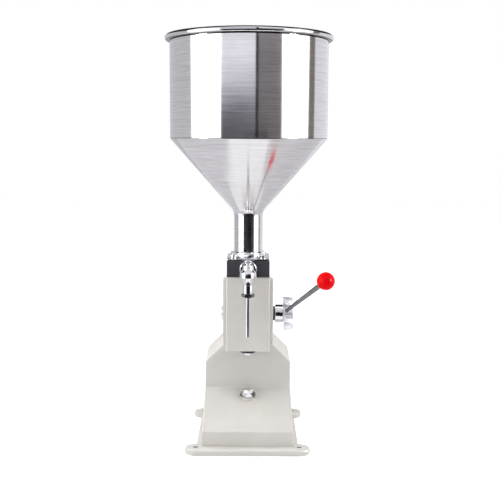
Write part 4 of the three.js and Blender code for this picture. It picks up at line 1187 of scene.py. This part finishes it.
def area_light(name, place, size, power, target=(0, 0, 0.4)):
    bpy.ops.object.light_add(type="AREA", location=place)
    lamp = bpy.context.object
    lamp.name = name
    lamp.data.shape = "RECTANGLE"
    lamp.data.size, lamp.data.size_y = size
    lamp.data.energy = power
    way = Vector(target) - Vector(place)
    lamp.rotation_euler = way.to_track_quat("-Z", "Y").to_euler()
    return lamp


def around(azimuth, distance):
    """A place on the floor, in metres: degrees from the front towards the lever, and how far out."""
    angle = math.radians(azimuth)
    return math.sin(angle) * distance, -math.cos(angle) * distance


def only_reflected(name, points, stops):
    """A flat card through points in metres that shows in reflections and nowhere else."""
    piece = start_chain(name, [Vector(p) / MM for p in points])
    bpy.ops.mesh.edge_face_add()
    bpy.ops.object.mode_set(mode="OBJECT")
    piece.data.materials.append(glow_by_height(name, stops))
    piece.visible_camera = False
    piece.visible_diffuse = False
    piece.visible_shadow = False


def card(name, azimuths, distance, stops, heights=(0, CARD_HEIGHT)):
    """An upright card between two azimuths and two heights."""
    left, right = (around(a, distance) for a in azimuths)
    low, high = heights
    only_reflected(name, [(*left, low), (*right, low), (*right, high), (*left, high)], stops)


def plain(*colour):
    """The same colour at every height."""
    return [(0, colour), (CARD_HEIGHT, colour)]


def floor_card(name, azimuths, distances, stops):
    """A card that lies just over the floor, between two azimuths and two distances."""
    near, far = distances
    places = [around(azimuths[0], near), around(azimuths[1], near), around(azimuths[1], far), around(azimuths[0], far)]
    only_reflected(name, [(x, y, 0.002) for x, y in places], stops)


def ceiling_card(name, low, high, height, stops):
    places = rounded(*low, *high, (0, 0, 0, 0))
    only_reflected(name, [(x, y, height) for x, y in places], stops)


def make_floor():
    bpy.ops.object.select_all(action="DESELECT")
    bpy.ops.mesh.primitive_plane_add(size=12)
    floor = bpy.context.object
    floor.name = "floor"
    material = bpy.data.materials.new("floor")
    material.use_nodes = True
    tree = material.node_tree
    surface = tree.nodes["Principled BSDF"]
    surface.inputs["Base Color"].default_value = (0.86, 0.86, 0.86, 1)
    surface.inputs["Roughness"].default_value = 0.9
    surface.inputs["Specular IOR Level"].default_value = 0
    path = add_node(tree, "ShaderNodeLightPath")
    glow = add_node(tree, "ShaderNodeEmission", {"Color": (1, 1, 1, 1)})
    lift = add_node(tree, "ShaderNodeMath", {0: path.outputs["Is Camera Ray"], 1: 0.62}, operation="MULTIPLY")
    tree.links.new(lift.outputs[0], glow.inputs["Strength"])
    both = add_node(tree, "ShaderNodeAddShader", {0: surface.outputs[0], 1: glow.outputs[0]})
    tree.links.new(both.outputs[0], tree.nodes["Material Output"].inputs["Surface"])
    floor.data.materials.append(material)


def make_world():
    world = bpy.data.worlds.new("studio")
    bpy.context.scene.world = world
    world.use_nodes = True
    tree = world.node_tree
    tree.nodes.clear()
    path = add_node(tree, "ShaderNodeLightPath")
    level = ramp_value(tree, path.outputs["Is Glossy Ray"], 0.45, 0.95, 0, 1)
    plain = add_node(tree, "ShaderNodeBackground", {"Color": (0.95, 0.96, 1, 1), "Strength": level})
    white = add_node(tree, "ShaderNodeBackground", {"Color": (1, 1, 1, 1), "Strength": 1.0})
    pick = add_node(
        tree, "ShaderNodeMixShader", {0: path.outputs["Is Camera Ray"], 1: plain.outputs[0], 2: white.outputs[0]}
    )
    output = add_node(tree, "ShaderNodeOutputWorld")
    tree.links.new(pick.outputs[0], output.inputs["Surface"])


def make_studio():
    make_world()
    make_floor()
    area_light("left_softbox", (*around(-62, 1.3), 0.62), (1.16, 1.2), 7)
    area_light("right_softbox", (*around(68, 1.27), 0.62), (1.05, 1.2), 6.3)
    area_light("top_softbox", (0, -0.3, 1.9), (1.2, 1.2), 12).visible_glossy = False
    for side, power in ((-1, 11), (1, 8)):
        lamp = area_light(f"shoulder_lamp_{side}", (side, 0.4, 1.0), (0.6, 0.6), power, (0, 0.05, 0.14))
        lamp.visible_glossy = False
    card("left_flash_card", (-70, -58), 1.2, plain(100, 100, 100), (0.48, 0.79))
    card("right_flash_card", (56, 68), 1.17, plain(100, 100, 100), (0.48, 0.79))
    card("lever_card", (-6, 24), 0.66, plain(0.01, 0.01, 0.012), (0.1, 0.5))
    card("low_front_card", (-55, 55), 1.12, plain(0.01, 0.01, 0.012), (0, 0.1))
    front = [
        (0, (0.01, 0.01, 0.012)),
        (0.45, (0.09, 0.09, 0.105)),
        (0.6, (0.13, 0.13, 0.16)),
        (0.635, (0.22, 0.22, 0.26)),
        (0.67, (1.35, 1.36, 1.5)),
        (0.72, (1.3, 1.3, 1.43)),
        (0.77, (0.42, 0.42, 0.49)),
        (0.81, (2.6, 2.56, 2.68)),
        (0.86, (1.15, 1.13, 1.21)),
        (0.92, (0.74, 0.73, 0.79)),
    ]
    card("front_left_card", (-38, 11), 1.9, front)
    front = [(0, (0.01, 0.01, 0.012)), (0.45, (0.2, 0.185, 0.185)), (0.6, (0.26, 0.238, 0.25)), (0.95, (0.22, 0.2, 0.21)), (1.15, (0.95, 0.94, 1.0))]
    card("front_right_card", (11, 45.5), 1.9, front)
    card("front_edge_card", (9, 12.8), 1.8, plain(0.03, 0.027, 0.028))
    card("side_card", (90, 104), 1.5, plain(0.25, 0.23, 0.215))
    dim = (0.04, 0.04, 0.045)
    card("right_wall", (104, 160), 1.6, [(0, (0.93, 0.93, 0.98)), (1.02, (0.93, 0.93, 0.98)), (1.1, dim)])
    card("left_wall", (-160, -86), 1.6, [(0, (0.6, 0.6, 0.63)), (0.45, (0.67, 0.67, 0.7)), (1.02, (0.67, 0.67, 0.7)), (1.1, dim)])
    card("rear_wall", (160, 200), 1.6, [(0, (0.6, 0.6, 0.63)), (1.02, (0.6, 0.6, 0.63)), (1.1, dim)])
    strip = rounded(-0.012, -0.17, 0.012, -0.112, (0, 0, 0, 0))
    only_reflected("stop_card", [(x, y, 0.003) for x, y in strip], plain(0.16, 0.13, 0.12))
    floor_card("front_floor_card", (-38, 45.5), (0.62, 3), plain(0.035, 0.03, 0.03))
    floor_card("right_floor_card", (45.5, 95), (0.25, 2.2), plain(0.8, 0.78, 0.81))
    floor_card("right_rear_floor_card", (95, 150), (0.25, 2.2), plain(0.76, 0.75, 0.78))
    floor_card("left_floor_card", (-95, -38), (0.3, 0.85), plain(0.82, 0.81, 0.85))
    floor_card("needle_floor_card", (-95, -38), (0.85, 1.6), plain(1.9, 1.86, 1.9))
    floor_card("left_rear_floor_card", (-150, -95), (0.3, 2.2), plain(0.82, 0.81, 0.85))
    ceiling_card("ceiling_card", (-1.3, -0.5), (1.3, 1.9), 2.2, plain(*dim))


def make_camera():
    data = bpy.data.cameras.new("camera")
    camera = bpy.data.objects.new("camera", data)
    bpy.context.collection.objects.link(camera)
    data.lens = 61.2
    data.sensor_width = 36
    turn = Matrix.Rotation(math.radians(82.5), 4, "X") @ Matrix.Rotation(math.radians(0.25), 4, "Z")
    camera.matrix_world = Matrix.Translation((0.003, -1.468, 0.529)) @ turn
    bpy.context.scene.camera = camera
    bpy.context.scene.view_settings.view_transform = "Standard"


make_studio()
make_camera()


def write_sizes():
    """Only imports json; it makes no boxes and no lists."""
    import json


write_sizes()
